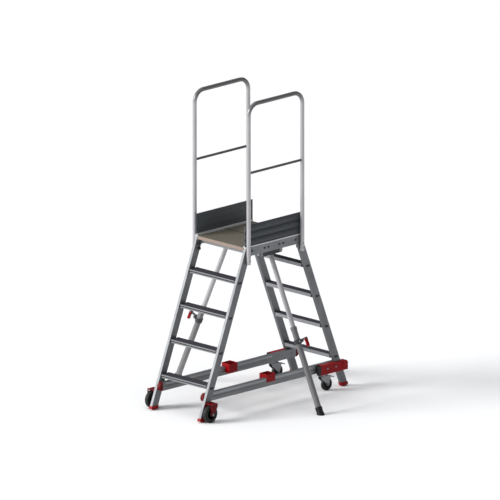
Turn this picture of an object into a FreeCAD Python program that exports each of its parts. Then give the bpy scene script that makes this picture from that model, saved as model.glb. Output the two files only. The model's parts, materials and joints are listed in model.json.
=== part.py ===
import FreeCAD, Part
import math
import os

import Sketcher

# Mobile double-sided work platform: two leaning ladders carry a boarded deck
# with guardrails, over two base bars with wheels, castors and side stabilisers.
# Frame: +X to the right across the treads, +Y from the front ladder to the rear
# ladder, +Z up. The origin is on the floor, below the middle of the deck.

V = FreeCAD.Vector
X_AXIS = V(1, 0, 0)
Y_AXIS = V(0, 1, 0)
Z_AXIS = V(0, 0, 1)
SIDES = (("left", -1), ("right", 1))
ENDS = (("front", -1), ("rear", 1))

DIMENSIONS = [
    ("lean", 21.4, "lean of both ladders from the vertical, degrees"),
    ("floor_line", 746, "distance from the middle to a stile's centre line at floor level"),
    ("stile_inner", 241.5, "X of a stile's inner face"),
    ("stile_thick", 25, "stile section across the ladder"),
    ("stile_depth", 60, "stile section along the tread depth"),
    ("stile_wall", 2, "wall of the stile section"),
    ("flute_deep", 0.8, "depth of the grooves along a stile"),
    ("flute_wide", 5, "width of the grooves along a stile"),
    ("stile_foot", 10, "height of a stile's lower end"),
    ("stile_top", 1247, "height of a stile's upper end"),
    ("cap_low", 6, "height of a foot cap's sole"),
    ("cap_high", 32, "height of a foot cap's rim"),
    ("cap_wall", 3, "wall of a foot cap"),
    ("tread_first", 263, "height of the first tread"),
    ("tread_rise", 250, "rise between treads"),
    ("tread_count", 4, "treads on each ladder"),
    ("tread_depth_front", 82, "depth of a tread of the front ladder"),
    ("tread_depth_rear", 62, "depth of a tread of the rear ladder"),
    ("nosing_bead", 1.5, "small bevel along a tread's edges"),
    ("tread_high", 26, "height of the aluminium tread"),
    ("tread_gap", 0.3, "gap between a tread's end and the stile"),
    ("insert_base", 0.8, "thickness of the ribbed tread cover between its ribs"),
    ("insert_high", 2.2, "thickness of the ribbed tread cover at its ribs"),
    ("rib_pitch", 6, "pitch of the ribs on a tread cover"),
    ("bolt_r", 4, "radius of the frame bolts"),
    ("hole_r", 4.2, "radius of the holes for the frame bolts"),
    ("head_r", 7, "radius of a bolt head"),
    ("head_high", 4, "height of a bolt head"),
    ("tread_bolt_step", 18, "spacing of the two bolts at each tread end"),
    ("tread_bolt_drop", 20, "depth of the tread bolts below the tread top"),
    ("deck_top", 1250, "height of the deck"),
    ("deck_thick", 26, "thickness of the deck boards"),
    ("deck_half_x", 240, "half width of the deck"),
    ("deck_half_y", 293, "half length of the deck"),
    ("deck_seam", 1.5, "half gap between the two deck boards"),
    ("side_rail_low", 1181, "underside of the side rails"),
    ("side_rail_top", 1248, "top of the side rails"),
    ("side_rail_wall", 2.5, "wall of the side rails"),
    ("rail_seam", 0.6, "half gap between the halves of a side rail"),
    ("rail_bolt_z", 1217, "height of the side rail bolts"),
    ("hinge_low", 1141, "lower edge of the centre hinge plates"),
    ("hinge_reach", 120, "reach of a centre hinge leaf from the middle"),
    ("hinge_thick", 5, "thickness of a hinge leaf"),
    ("hinge_pin_z", 1161, "height of the centre hinge pin"),
    ("beam_low", 1196, "underside of the deck cross beams"),
    ("beam_wide", 25, "width of a deck cross beam"),
    ("guard_r", 16, "radius of the guardrail tube"),
    ("guard_bore", 14.2, "inner radius of the guardrail tube"),
    ("guard_x", 282.8, "X of a guardrail's centre plane"),
    ("guard_y", 280.3, "Y of a guardrail's posts"),
    ("guard_low", 1126, "lower end of the guardrail posts"),
    ("guard_top", 2347, "height of the guardrail's top tube centre"),
    ("guard_bend", 88, "bend radius of the guardrail"),
    ("mid_rail_z", 1824, "height of the middle rails"),
    ("mid_rail_r", 9.5, "radius of the middle rails"),
    ("knob_r", 13, "radius of a guardrail knob"),
    ("knob_deep", 15, "depth of a guardrail knob"),
    ("knob_high_z", 1188, "height of the upper guardrail knobs"),
    ("knob_low_z", 1153, "height of the lower guardrail knobs"),
    ("toe_low", 1255, "lower edge of a toe board"),
    ("toe_high", 162, "height of a toe board"),
    ("toe_half_y", 295, "half length of a toe board"),
    ("toe_inner", 250.5, "X of a toe board's inner face"),
    ("toe_thin", 5, "thickness of a toe board in its valleys"),
    ("toe_wave", 9, "height of a toe board's waves"),
    ("bar_low", 140, "underside of the base bars"),
    ("bar_high", 65, "height of the base bars"),
    ("bar_thick", 30, "thickness of the base bars"),
    ("bar_front_y", 683, "front end of the straight base bar"),
    ("bar_rear_y", 708.5, "rear end of the straight base bar"),
    ("bar_plug", 8, "depth of an end cap's plug in its base bar"),
    ("bar_bolt_in", 14, "distance of a bar's bolt inwards from the stile's centre line"),
    ("bar_gap", 0.3, "gap between a base bar and the stile beside it"),
    ("bar_wall", 2.5, "wall of the base bars"),
    ("cup_top", 231, "top of a stowing cup"),
    ("cup_low", 160, "underside of a stowing cup's pocket"),
    ("cup_lip", 171, "lower edge of a stowing cup's outer cheek"),
    ("cup_near", 34.5, "end of a stowing cup on its stabiliser's side"),
    ("cup_far", 52, "end of a stowing cup on the other side"),
    ("cup_in", 166, "X of a stowing cup's inner face"),
    ("cup_wall", 3.5, "wall of a stowing cup"),
    ("bracket_out", 283, "X of a rear bracket's outer face"),
    ("bracket_low", 130, "underside of a rear bracket"),
    ("bracket_top", 203, "top of a rear bracket"),
    ("bracket_start", 461, "front end of a rear bracket"),
    ("bracket_end", 756, "rear end of a rear bracket"),
    ("bracket_wall", 4, "wall of a rear bracket"),
    ("bracket_slope", 14, "sloped corner at the rear of a bracket"),
    ("bracket_heel", 48, "length of the thick heel of a rear bracket"),
    ("stem_r", 7, "radius of a castor's stem"),
    ("stem_hole_r", 7.2, "radius of the hole for a castor's stem"),
    ("wheel_x", 303, "X of a front wheel's middle"),
    ("wheel_y", 705, "distance of the front wheels from the middle"),
    ("wheel_r", 65, "radius of a front wheel"),
    ("wheel_wide", 36, "width of a front tyre"),
    ("rim_r", 44, "radius of the seat between rim and tyre"),
    ("hub_r", 16, "radius of a wheel hub"),
    ("hub_wide", 42, "width of a wheel hub"),
    ("axle_r", 6, "radius of the front axles"),
    ("run_clear", 0.05, "radial clearance of a running fit"),
    ("arm_in", 267, "X of a wheel bracket's inner face"),
    ("arm_out", 335, "X of a wheel bracket's outer face"),
    ("arm_thick", 6, "thickness of a wheel bracket's arms"),
    ("arm_top", 144, "top of a wheel bracket"),
    ("arm_front", 724, "front edge of a wheel bracket"),
    ("arm_back", 657, "back edge of a wheel bracket"),
    ("castor_x", 258, "X of a castor's swivel axis"),
    ("castor_y", 522, "Y of a castor's swivel axis"),
    ("castor_trail", 36, "trail of a castor wheel"),
    ("castor_r", 50, "radius of a castor wheel"),
    ("castor_wide", 27, "width of a castor wheel"),
    ("fork_gap", 3, "gap between a castor wheel and its fork"),
    ("fork_wall", 3, "thickness of a castor fork"),
    ("fork_top", 119, "top of a castor fork"),
    ("castor_axle_r", 4, "radius of a castor's axle"),
    ("pedal_y", 582, "Y of a brake pedal's pivot"),
    ("pedal_z", 104, "height of a brake pedal's pivot"),
    ("pedal_tip_y", 626, "Y of a brake pedal's tip"),
    ("splay", 25, "splay of a stabiliser from the vertical, degrees"),
    ("leg_pivot_x", 176, "X of a stabiliser's top pivot"),
    ("leg_pivot_z", 1176, "height of a stabiliser's top pivot"),
    ("leg_y", 32, "distance of a stabiliser's plane from the middle"),
    ("leg_tube_r", 18, "radius of the upper stabiliser tube"),
    ("leg_tube_bore", 16, "inner radius of the upper stabiliser tube"),
    ("leg_tube_end", 780, "lower end of the upper tube, from the pivot"),
    ("leg_outer_r", 22.5, "radius of the lower stabiliser tube"),
    ("leg_outer_bore", 18.5, "inner radius of the lower stabiliser tube"),
    ("leg_outer_start", 616, "upper end of the lower tube, from the pivot"),
    ("clamp_at", 732, "place of the clamp along the leg, from the pivot"),
    ("clamp_high", 34, "height of the clamp collar"),
    ("clamp_r", 28, "radius of the clamp collar"),
    ("clamp_arm", 94, "distance of the lever's pin from the leg's axis"),
    ("foot_long", 60, "length of a rubber foot"),
    ("foot_r", 29, "radius of a rubber foot at the floor"),
    ("pin_r", 5, "radius of the stabiliser and clamp pins"),
    ("pin_lift", 7, "height of the lever's pin above the clamp's middle"),
    ("lug_at", 40, "distance of the clamp's lug from the leg's axis"),
    ("lug_r", 11, "radius of the clamp's lug"),
    ("lug_half", 16, "half length of the clamp's lug"),
    ("neck_half", 13, "half width of the clamp's neck"),
    ("jaw_half", 5, "half width of the clamp's jaw"),
    ("lever_half", 10.5, "half width of a clamp lever"),
    ("lever_drop", 56, "reach of a clamp lever below the clamp's middle"),
    ("sleeve_grow", 3.2, "thickness of a rubber foot's sleeve"),
    ("ring_grow", 2.5, "thickness of the ring at the top of a lower tube"),
    ("ring_high", 24, "height of the ring at the top of a lower tube"),
    ("tube_lift", 34, "height of a lower tube's end inside its rubber foot"),
    ("cheek_thick", 4, "thickness of a stabiliser bracket's cheeks"),
    ("cheek_half", 20, "half width of a stabiliser bracket's cheeks"),
    ("race_r", 22, "radius of a castor's ball race"),
    ("nut_r", 11, "radius of a castor's nut"),
    ("crown_r", 24, "radius of a castor fork's crown"),
    ("pedal_pin_r", 3, "radius of a brake pedal's pin"),
    ("arm_eye_r", 15, "radius of a wheel bracket's eye"),
    ("arm_boss_r", 12, "radius of a wheel bracket's boss"),
    ("axle_head_r", 9, "radius of a front axle's head"),
    ("hinge_corner", 14, "cut corner of a hinge leaf"),
    ("hinge_overlap", 22, "reach of a hinge leaf past the middle"),
]

doc = FreeCAD.newDocument("mobile_work_platform")
dims = doc.addObject("Spreadsheet::Sheet", "dims")
for row, (alias, size, note) in enumerate(DIMENSIONS, start=1):
    dims.set(f"A{row}", note)
    dims.set(f"B{row}", str(size))
    dims.setAlias(f"B{row}", alias)
doc.recompute()

# Y of the stile's centre line at a height, and half the stile's level depth.
STILE_LINE = "(dims.floor_line - tan(dims.lean) * ({z}))"
HALF_LEVEL = "(dims.stile_depth / 2 / cos(dims.lean))"
nodes = []


def number(expression):
    """The value of an expression over the sheet."""
    return float(dims.evalExpression(str(expression)))


def bind(obj, **expressions):
    """Set each property and bind it to its expression."""
    for name, expression in expressions.items():
        obj.setExpression(name, str(expression))
    return obj


def place(obj, x=0, y=0, z=0, axis=Z_AXIS, angle=0):
    """Put an object at bound coordinates, turned about an axis by a bound angle."""
    base = V(number(x), number(y), number(z))
    obj.Placement = FreeCAD.Placement(base, FreeCAD.Rotation(axis, number(angle)))
    obj.setExpression("Placement.Base.x", str(x))
    obj.setExpression("Placement.Base.y", str(y))
    obj.setExpression("Placement.Base.z", str(z))
    if str(angle) != "0" and "dims" in str(angle):
        obj.setExpression("Placement.Rotation.Angle", f"abs({angle})")
        turned = FreeCAD.Rotation(axis * math.copysign(1, number(angle)), abs(number(angle)))
        obj.Placement = FreeCAD.Placement(base, turned)
    return obj


def node(obj, label):
    """Label a finished sub-part and list it for writing."""
    obj.Label = label
    nodes.append(obj)
    return obj


def span(low, high):
    return f"abs(({high}) - ({low}))"


def lower(low, high):
    return f"min({low}; {high})"


def block(name, x, y, z):
    """A box between two bound limits on each axis."""
    obj = doc.addObject("Part::Box", name)
    bind(obj, Length=span(*x), Width=span(*y), Height=span(*z))
    return place(obj, lower(*x), lower(*y), lower(*z))


def rod(name, radius, along, start, end, a, b):
    """A cylinder along X, Y or Z between two limits, at (a, b) on the other two axes."""
    obj = doc.addObject("Part::Cylinder", name)
    bind(obj, Radius=radius, Height=span(start, end))
    first = lower(start, end)
    if along == "x":
        return place(obj, first, a, b, Y_AXIS, 90)
    if along == "y":
        return place(obj, a, first, b, X_AXIS, -90)
    return place(obj, a, b, first)


def fuse(name, shapes):
    obj = doc.addObject("Part::MultiFuse", name)
    obj.Shapes = shapes
    obj.Refine = True
    return obj


def cut(name, base, tools):
    """A shape less one or more tools."""
    obj = doc.addObject("Part::Cut", name)
    obj.Base = base
    obj.Tool = tools[0] if len(tools) == 1 else fuse(name + "_tools", tools)
    obj.Refine = True
    return obj


def common(name, base, tool):
    obj = doc.addObject("Part::Common", name)
    obj.Base = base
    obj.Tool = tool
    return obj


def group(name, shapes):
    """Separate solids that share one node."""
    obj = doc.addObject("Part::Compound", name)
    obj.Links = shapes
    return obj


def tilted(name, shapes, side):
    """A group in a leg's own frame, turned to the leg's splay at its pivot."""
    obj = group(name, shapes) if len(shapes) > 1 else shapes[0]
    angle = "-dims.splay" if side > 0 else "dims.splay"
    return place(obj, f"{side} * dims.leg_pivot_x", f"{side} * dims.leg_y", "dims.leg_pivot_z",
                 Y_AXIS, angle)


def plane_of(body, role):
    return [f for f in body.Origin.OriginFeatures if f.Role == role][0]


def new_sketch(body, role, name):
    sketch = body.newObject("Sketcher::SketchObject", name)
    sketch.AttachmentSupport = [(plane_of(body, role), "")]
    sketch.MapMode = "FlatFace"
    return sketch


def pin_point(sketch, geometry, point, x, y):
    """Hold a sketch point at two bound coordinates."""
    for kind, expression, axis in (("DistanceX", x, -2), ("DistanceY", y, -1)):
        size = number(expression)
        if abs(size) < 1e-7:
            sketch.addConstraint(Sketcher.Constraint("PointOnObject", geometry, point, axis))
            continue
        index = sketch.addConstraint(
            Sketcher.Constraint(kind, -1, 1, geometry, point, size))
        if "dims" in str(expression):
            sketch.setExpression(f"Constraints[{index}]", str(expression))


def draw_outline(sketch, points):
    """A closed outline through points with bound coordinates."""
    first = sketch.GeometryCount
    corners = [V(number(x), number(y), 0) for x, y in points]
    count = len(points)
    for i in range(count):
        sketch.addGeometry(Part.LineSegment(corners[i], corners[(i + 1) % count]), False)
    for i in range(count):
        follower = first + (i + 1) % count
        sketch.addConstraint(Sketcher.Constraint("Coincident", first + i, 2, follower, 1))
    for i, (x, y) in enumerate(points):
        pin_point(sketch, first + i, 1, x, y)


def draw_circle(sketch, x, y, radius):
    index = sketch.addGeometry(
        Part.Circle(V(number(x), number(y), 0), Z_AXIS, number(radius)), False)
    pin_point(sketch, index, 3, x, y)
    held = sketch.addConstraint(Sketcher.Constraint("Radius", index, number(radius)))
    sketch.setExpression(f"Constraints[{held}]", str(radius))


def pad_body(name, role, loops, length, symmetric=False):
    """A body padded from one sketch with an outer loop and any inner loops."""
    body = doc.addObject("PartDesign::Body", name)
    sketch = new_sketch(body, role, name + "_section")
    for loop in loops:
        draw_outline(sketch, loop)
    pad = body.newObject("PartDesign::Pad", name + "_pad")
    pad.Profile = sketch
    pad.SideType = "Symmetric" if symmetric else "One side"
    bind(pad, Length=length)
    return body


def revolved_body(name, points):
    """A body turned about its own X axis from an outline above that axis."""
    body = doc.addObject("PartDesign::Body", name)
    sketch = new_sketch(body, "XY_Plane", name + "_section")
    draw_outline(sketch, points)
    turn = body.newObject("PartDesign::Revolution", name + "_turn")
    turn.Profile = sketch
    turn.ReferenceAxis = (sketch, ["H_Axis"])
    turn.Angle = 360
    return body


def hex_bolt(name, side, head_x, tip_x, y, z):
    """A bolt along X with its hexagon head outside and its shank towards the middle."""
    shank = rod(name + "_shank", "dims.bolt_r", "x", f"{side} * ({head_x})",
                f"{side} * ({tip_x})", y, z)
    head = doc.addObject("Part::Prism", name + "_head")
    head.Polygon = 6
    bind(head, Circumradius="dims.head_r", Height="dims.head_high")
    start = f"{head_x}" if side > 0 else f"-({head_x}) - dims.head_high"
    place(head, start, y, z, Y_AXIS, 90)
    return fuse(name, [shank, head])


def bolt_hole(name, side, start, end, y, z, radius="dims.hole_r"):
    return rod(name, radius, "x", f"{side} * ({start})", f"{side} * ({end})", y, z)


OUTER = "(dims.stile_inner + dims.stile_thick)"

# ---------------------------------------------------------------- ladders


def fluted(points, x_face, inward):
    """Add the three grooves of a wide face to an outline, walking up the depth."""
    for third in (-1, 0, 1):
        middle = f"{third} * dims.stile_depth / 4"
        for edge, depth in ((-1, 0), (-0.5, 1), (0.5, 1), (1, 0)):
            run = edge if inward > 0 else -edge
            order = middle if inward > 0 else f"-({middle})"
            points.append((f"{x_face} + {inward * depth} * dims.flute_deep",
                           f"{order} + {run} * dims.flute_wide / 2"))


def stile_section():
    """Rectangular section with rounded look: small corner flats and fluted wide faces."""
    half_x = "dims.stile_thick / 2"
    half_y = "dims.stile_depth / 2"
    flat = 1.5
    outer = [(f"-{half_x}", f"-{half_y} + {flat}")]
    fluted(outer, f"-{half_x}", 1)
    outer += [(f"-{half_x}", f"{half_y} - {flat}"), (f"-{half_x} + {flat}", half_y),
              (f"{half_x} - {flat}", half_y), (half_x, f"{half_y} - {flat}")]
    fluted(outer, half_x, -1)
    outer += [(half_x, f"-{half_y} + {flat}"), (f"{half_x} - {flat}", f"-{half_y}"),
              (f"-{half_x} + {flat}", f"-{half_y}")]
    in_x = f"({half_x} - dims.stile_wall)"
    in_y = f"({half_y} - dims.stile_wall)"
    inner = [(f"-{in_x}", f"-{in_y}"), (f"-{in_x}", in_y), (in_x, in_y), (in_x, f"-{in_y}")]
    return [outer, inner]


def stile_envelope(name, side, end, grow):
    """The space of a stile, grown all round, for trimming what meets it."""
    obj = doc.addObject("Part::Box", name)
    bind(obj, Length=f"dims.stile_thick + 2 * {grow}", Width=f"dims.stile_depth + 2 * {grow}",
         Height="dims.stile_top + 200")
    lean = f"{end} * dims.lean"
    y = f"{end} * dims.floor_line - (dims.stile_depth / 2 + {grow}) * cos(dims.lean)"
    z = f"-{end} * (dims.stile_depth / 2 + {grow}) * sin(dims.lean)"
    start_x = f"{side} * (dims.stile_inner + dims.stile_thick / 2) - dims.stile_thick / 2 - {grow}"
    return place(obj, start_x, y, z, X_AXIS, lean)


def tread_bolt_places(end):
    """Y and Z of the two bolts at each tread's end."""
    for step in range(int(number("dims.tread_count"))):
        z = f"dims.tread_first + {step} * dims.tread_rise - dims.tread_bolt_drop"
        line = STILE_LINE.format(z=z)
        for half in (-0.5, 0.5):
            yield step, half, f"{end} * ({line} + {half} * dims.tread_bolt_step)", z


PIVOT_Z = "dims.bar_low + dims.bar_high / 2"
PIVOT_LINE = f"({STILE_LINE.format(z=PIVOT_Z)} - dims.bar_bolt_in)"
ARM_BOLT_Z = (92, 124)
stile_holes = {}
bolts = {"tread": [], "base": []}

for side_name, side in SIDES:
    for end_name, end in ENDS:
        holes = []
        tag = f"{end_name}_{side_name}"
        for step, half, y, z in tread_bolt_places(end):
            where = f"{tag}_{step}_{'a' if half < 0 else 'b'}"
            bolts["tread"].append(
                hex_bolt("tread_bolt_" + where, side, OUTER, "dims.stile_inner - 12", y, z))
            holes.append(bolt_hole("tread_hole_" + where, side, "dims.stile_inner - 5",
                                   OUTER + " + 5", y, z))
        bolts["base"].append(
            hex_bolt("pivot_bolt_" + tag, side, OUTER,
                     "dims.stile_inner - dims.bar_thick - 6", f"{end} * {PIVOT_LINE}", PIVOT_Z))
        holes.append(bolt_hole("pivot_hole_" + tag, side, "dims.stile_inner - 5", OUTER + " + 5",
                               f"{end} * {PIVOT_LINE}", PIVOT_Z))
        for height in ("knob_high_z", "knob_low_z"):
            holes.append(bolt_hole(f"{height}_hole_{tag}", side, "dims.stile_inner - 5",
                                   OUTER + " + 5", f"{end} * dims.guard_y", f"dims.{height}"))
        for z in ARM_BOLT_Z if end < 0 else ():
            y = f"-{STILE_LINE.format(z=z)}"
            bolts["base"].append(hex_bolt(f"arm_bolt_{tag}_{z}", side,
                                          "dims.arm_in + dims.arm_thick", "dims.stile_inner", y, z))
            holes.append(bolt_hole(f"arm_bolt_hole_{tag}_{z}", side, "dims.stile_inner - 5",
                                   OUTER + " + 5", y, z))
        stile_holes[tag] = holes

for side_name, side in SIDES:
    for end_name, end in ENDS:
        tag = f"{end_name}_{side_name}"
        extrusion = pad_body(f"stile_{tag}_extrusion", "XY_Plane", stile_section(),
                             "dims.stile_top + 200")
        place(extrusion, f"{side} * (dims.stile_inner + dims.stile_thick / 2)",
              f"{end} * dims.floor_line", 0, X_AXIS, f"{end} * dims.lean")
        slab = block(f"stile_{tag}_slab", (-400, 400), (-900, 900),
                     ("dims.stile_foot", "dims.stile_top"))
        trimmed = common(f"stile_{tag}_trimmed", extrusion, slab)
        node(cut(f"stile_{tag}", trimmed, stile_holes[tag]), f"{end_name}_stile_{side_name}")


def tread_sections(end_name, end):
    """Outer and inner loops of a tread, from its nosing inwards."""
    deep, high = f"dims.tread_depth_{end_name}", "dims.tread_high"
    outer = [(0, "dims.nosing_bead"), (0, 8.5), (3.5, 10), (3.5, 16), (0, 17.5), (0, high),
             (deep, high), (deep, 2), (f"{deep} - 2", 0), ("dims.nosing_bead", 0)]
    inner = [(5.5, 2), (5.5, f"{high} - 2"), (f"{deep} - 2", f"{high} - 2"), (f"{deep} - 2", 2)]
    turned = []
    for loop in (outer, inner):
        turned.append([(f"{-end} * ({y})", z) for y, z in loop])
    return turned


def cover_section(end_name, end):
    """Ribbed cover of a tread: a thin base with ribs along the tread."""
    deep, base, high = f"(dims.tread_depth_{end_name} - 4)", "dims.insert_base", "dims.insert_high"
    count = int(number(f"({deep} - 1) / dims.rib_pitch"))
    points = [(0, 0), (0, high)]
    for rib in range(count):
        start = f"{rib} * dims.rib_pitch"
        points += [(f"{start} + 3.2", high), (f"{start} + 3.8", base),
                   (f"{start} + 5.4", base), (f"{start} + dims.rib_pitch", high)]
    points += [(deep, high), (deep, 0)]
    return [[(f"{-end} * (2 + {y})", z) for y, z in points]]


covers = []
for end_name, end in ENDS:
    for step in range(int(number("dims.tread_count"))):
        top = f"(dims.tread_first + {step} * dims.tread_rise)"
        tread = pad_body(f"{end_name}_tread_{step + 1}_body", "YZ_Plane",
                         tread_sections(end_name, end),
                         "2 * (dims.stile_inner - dims.tread_gap)", symmetric=True)
        nosing = f"{end} * ({STILE_LINE.format(z=top)} + {HALF_LEVEL})"
        place(tread, 0, nosing, f"{top} - dims.insert_high - dims.tread_high")
        node(tread, f"{end_name}_tread_{step + 1}")
        cover = pad_body(f"{end_name}_cover_{step + 1}", "YZ_Plane",
                         cover_section(end_name, end),
                         "2 * (dims.stile_inner - 3)", symmetric=True)
        covers.append(place(cover, 0, nosing, f"{top} - dims.insert_high"))
node(group("covers", covers), "tread_inserts")
node(group("tread_bolt_group", bolts["tread"]), "tread_bolts")

caps = []
for side_name, side in SIDES:
    for end_name, end in ENDS:
        tag = f"{end_name}_{side_name}"
        shoe = stile_envelope(f"cap_{tag}_shoe", side, end, "dims.cap_wall")
        slab = block(f"cap_{tag}_slab", (-400, 400), (-900, 900), ("dims.cap_low", "dims.cap_high"))
        inside = stile_envelope(f"cap_{tag}_inside", side, end, "0.15")
        above = block(f"cap_{tag}_above", (-400, 400), (-900, 900),
                      ("dims.stile_foot - 0.2", "dims.cap_high + 50"))
        pocket = common(f"cap_{tag}_pocket", inside, above)
        solid = common(f"cap_{tag}_solid", shoe, slab)
        caps.append(cut(f"cap_{tag}", solid, [pocket]))
node(group("cap_group", caps), "foot_caps")

# ---------------------------------------------------------------- deck

for end_name, end in ENDS:
    board = block(f"board_{end_name}", ("-dims.deck_half_x", "dims.deck_half_x"),
                  (f"{end} * dims.deck_seam", f"{end} * dims.deck_half_y"),
                  ("dims.deck_top - dims.deck_thick", "dims.deck_top"))
    node(board, f"deck_panel_{end_name}")

RAIL_BOLT_Y = (57, 98, 228)
rail_bolts = []
for side_name, side in SIDES:
    halves = []
    for end_name, end in ENDS:
        tag = f"{end_name}_{side_name}"
        y = (f"{end} * dims.rail_seam", f"{end} * (dims.deck_half_y + 10)")
        skin = block(f"rail_{tag}_skin", (f"{side} * dims.stile_inner", f"{side} * {OUTER}"), y,
                     ("dims.side_rail_low", "dims.side_rail_top"))
        wall = "dims.side_rail_wall"
        core = block(f"rail_{tag}_core",
                     (f"{side} * (dims.stile_inner + {wall})", f"{side} * ({OUTER} - {wall})"),
                     (f"{end} * -5", f"{end} * (dims.deck_half_y + 20)"),
                     (f"dims.side_rail_low + {wall}", f"dims.side_rail_top - {wall}"))
        beyond = stile_envelope(f"rail_{tag}_end", side, end, "0.3")
        past = block(f"rail_{tag}_past", (f"{side} * 200", f"{side} * 300"),
                     (f"{end} * ({STILE_LINE.format(z='dims.side_rail_low')} - 5)", f"{end} * 400"),
                     ("dims.side_rail_low - 5", "dims.side_rail_top + 5"))
        tools = [core, beyond, past]
        for place_y in RAIL_BOLT_Y:
            where = f"{tag}_{place_y}"
            tip = "dims.stile_inner - 9" if place_y < number("dims.hinge_reach") else "dims.stile_inner"
            rail_bolts.append(hex_bolt("rail_bolt_" + where, side, OUTER, tip,
                                       f"{end} * {place_y}", "dims.rail_bolt_z"))
            tools.append(bolt_hole("rail_hole_" + where, side, "dims.stile_inner - 5",
                                   OUTER + " + 5", f"{end} * {place_y}", "dims.rail_bolt_z"))
        halves.append(cut(f"rail_{tag}", skin, tools))
    node(group(f"rail_{side_name}", halves), f"side_rail_{side_name}")


def hinge_leaf(name, side, end, layer):
    """A hinge leaf inside a side rail, with cut corners below and a round pin eye."""
    reach = "dims.hinge_reach"
    low, top = "dims.hinge_low", "(dims.deck_top - dims.deck_thick - 0.3)"
    corner, past = "dims.hinge_corner", f"-{end} * dims.hinge_overlap"
    points = [(past, top), (f"{end} * {reach}", top),
              (f"{end} * {reach}", f"{low} + {corner}"),
              (f"{end} * ({reach} - 4)", f"{low} + 4"),
              (f"{end} * ({reach} - {corner})", low),
              (f"{past} + {end} * 8", low), (past, f"{low} + 8")]
    leaf = pad_body(name, "YZ_Plane", [points], "dims.hinge_thick")
    outer_face = f"dims.stile_inner - 0.2 - {layer} * (dims.hinge_thick + 0.2)"
    x = f"{outer_face} - dims.hinge_thick" if side > 0 else f"-({outer_face})"
    return place(leaf, x, 0, 0)


hinges = []
for side_name, side in SIDES:
    for layer, (end_name, end) in enumerate(ENDS):
        tag = f"{end_name}_{side_name}"
        leaf = hinge_leaf(f"leaf_{tag}", side, end, layer)
        tools = [bolt_hole(f"leaf_{tag}_eye", side, "200", "245", 0, "dims.hinge_pin_z",
                           "dims.pin_r + 0.1")]
        for at in (-98, -57, 57, 98):
            tools.append(bolt_hole(f"leaf_{tag}_{at}", side, "200", "245", at, "dims.rail_bolt_z"))
        hinges.append(cut(f"hinge_{tag}", leaf, tools))
    pin = rod(f"hinge_pin_{side_name}", "dims.pin_r", "x", f"{side} * (dims.stile_inner - 0.4)",
              f"{side} * (dims.stile_inner - 16)", 0, "dims.hinge_pin_z")
    head = rod(f"hinge_head_{side_name}", "12", "x", f"{side} * (dims.stile_inner - 10.8)",
               f"{side} * (dims.stile_inner - 18)", 0, "dims.hinge_pin_z")
    hinges.append(fuse(f"hinge_rivet_{side_name}", [pin, head]))
    for end_name, end in ENDS:
        for at in (60, 104):
            boss = rod(f"boss_{side_name}_{end_name}_{at}", "7", "x",
                       f"{side} * (dims.stile_inner - 11)", f"{side} * (dims.stile_inner - 19)",
                       f"{end} * {at}", "dims.hinge_low + 18")
            hinges.append(boss)
node(group("hinge_group", hinges), "centre_hinges")

beams = []
BEAM_Y = (58, 250)
for end_name, end in ENDS:
    for at in BEAM_Y:
        name = f"beam_{end_name}_{at}"
        reach = "(dims.stile_inner - 12)" if at < number("dims.hinge_reach") else "(dims.stile_inner - 0.4)"
        y = (f"{end} * {at} - dims.beam_wide / 2", f"{end} * {at} + dims.beam_wide / 2")
        z = ("dims.beam_low", "dims.deck_top - dims.deck_thick")
        skin = block(name + "_skin", (f"-{reach}", reach), y, z)
        core = block(name + "_core", (f"-{reach} - 5", f"{reach} + 5"),
                     (f"{y[0]} + 2", f"{y[1]} - 2"), (f"{z[0]} + 2", f"{z[1]} - 2"))
        tools = [core]
        if at > number("dims.hinge_reach"):
            for side_name, side in SIDES:
                tools.append(bolt_hole(f"{name}_{side_name}", side, "225", "245",
                                       f"{end} * 228", "dims.rail_bolt_z", "9"))
        beams.append(cut(name, skin, tools))
node(group("beam_group", beams), "deck_cross_beams")
node(group("rail_bolt_group", rail_bolts), "platform_bolts")

# ---------------------------------------------------------------- guardrails


def guard_path(sketch):
    """Post, bend, top rail, bend, post in the guardrail's own plane."""
    half, low = number("dims.guard_y"), number("dims.guard_low")
    top, bend = number("dims.guard_top"), number("dims.guard_bend")
    right = math.pi / 2
    sketch.addGeometry(Part.LineSegment(V(-half, low, 0), V(-half, top - bend, 0)), False)
    sketch.addGeometry(Part.ArcOfCircle(
        Part.Circle(V(bend - half, top - bend, 0), Z_AXIS, bend), right, 2 * right), False)
    sketch.addGeometry(Part.LineSegment(V(bend - half, top, 0), V(half - bend, top, 0)), False)
    sketch.addGeometry(Part.ArcOfCircle(
        Part.Circle(V(half - bend, top - bend, 0), Z_AXIS, bend), 0, right), False)
    sketch.addGeometry(Part.LineSegment(V(half, top - bend, 0), V(half, low, 0)), False)
    rule = Sketcher.Constraint
    for first, first_end, second, second_end in ((0, 2, 1, 2), (1, 1, 2, 1), (2, 2, 3, 2),
                                                 (3, 1, 4, 1)):
        sketch.addConstraint(rule("Tangent", first, first_end, second, second_end))
    sketch.addConstraint([rule("Vertical", 0), rule("Horizontal", 2), rule("Vertical", 4),
                          rule("Equal", 1, 3)])
    held = sketch.addConstraint(rule("Radius", 1, bend))
    sketch.setExpression(f"Constraints[{held}]", "dims.guard_bend")
    held = sketch.addConstraint(rule("DistanceY", -1, 1, 2, 1, top))
    sketch.setExpression(f"Constraints[{held}]", "dims.guard_top")
    pin_point(sketch, 0, 1, "-dims.guard_y", "dims.guard_low")
    pin_point(sketch, 4, 2, "dims.guard_y", "dims.guard_low")


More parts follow.
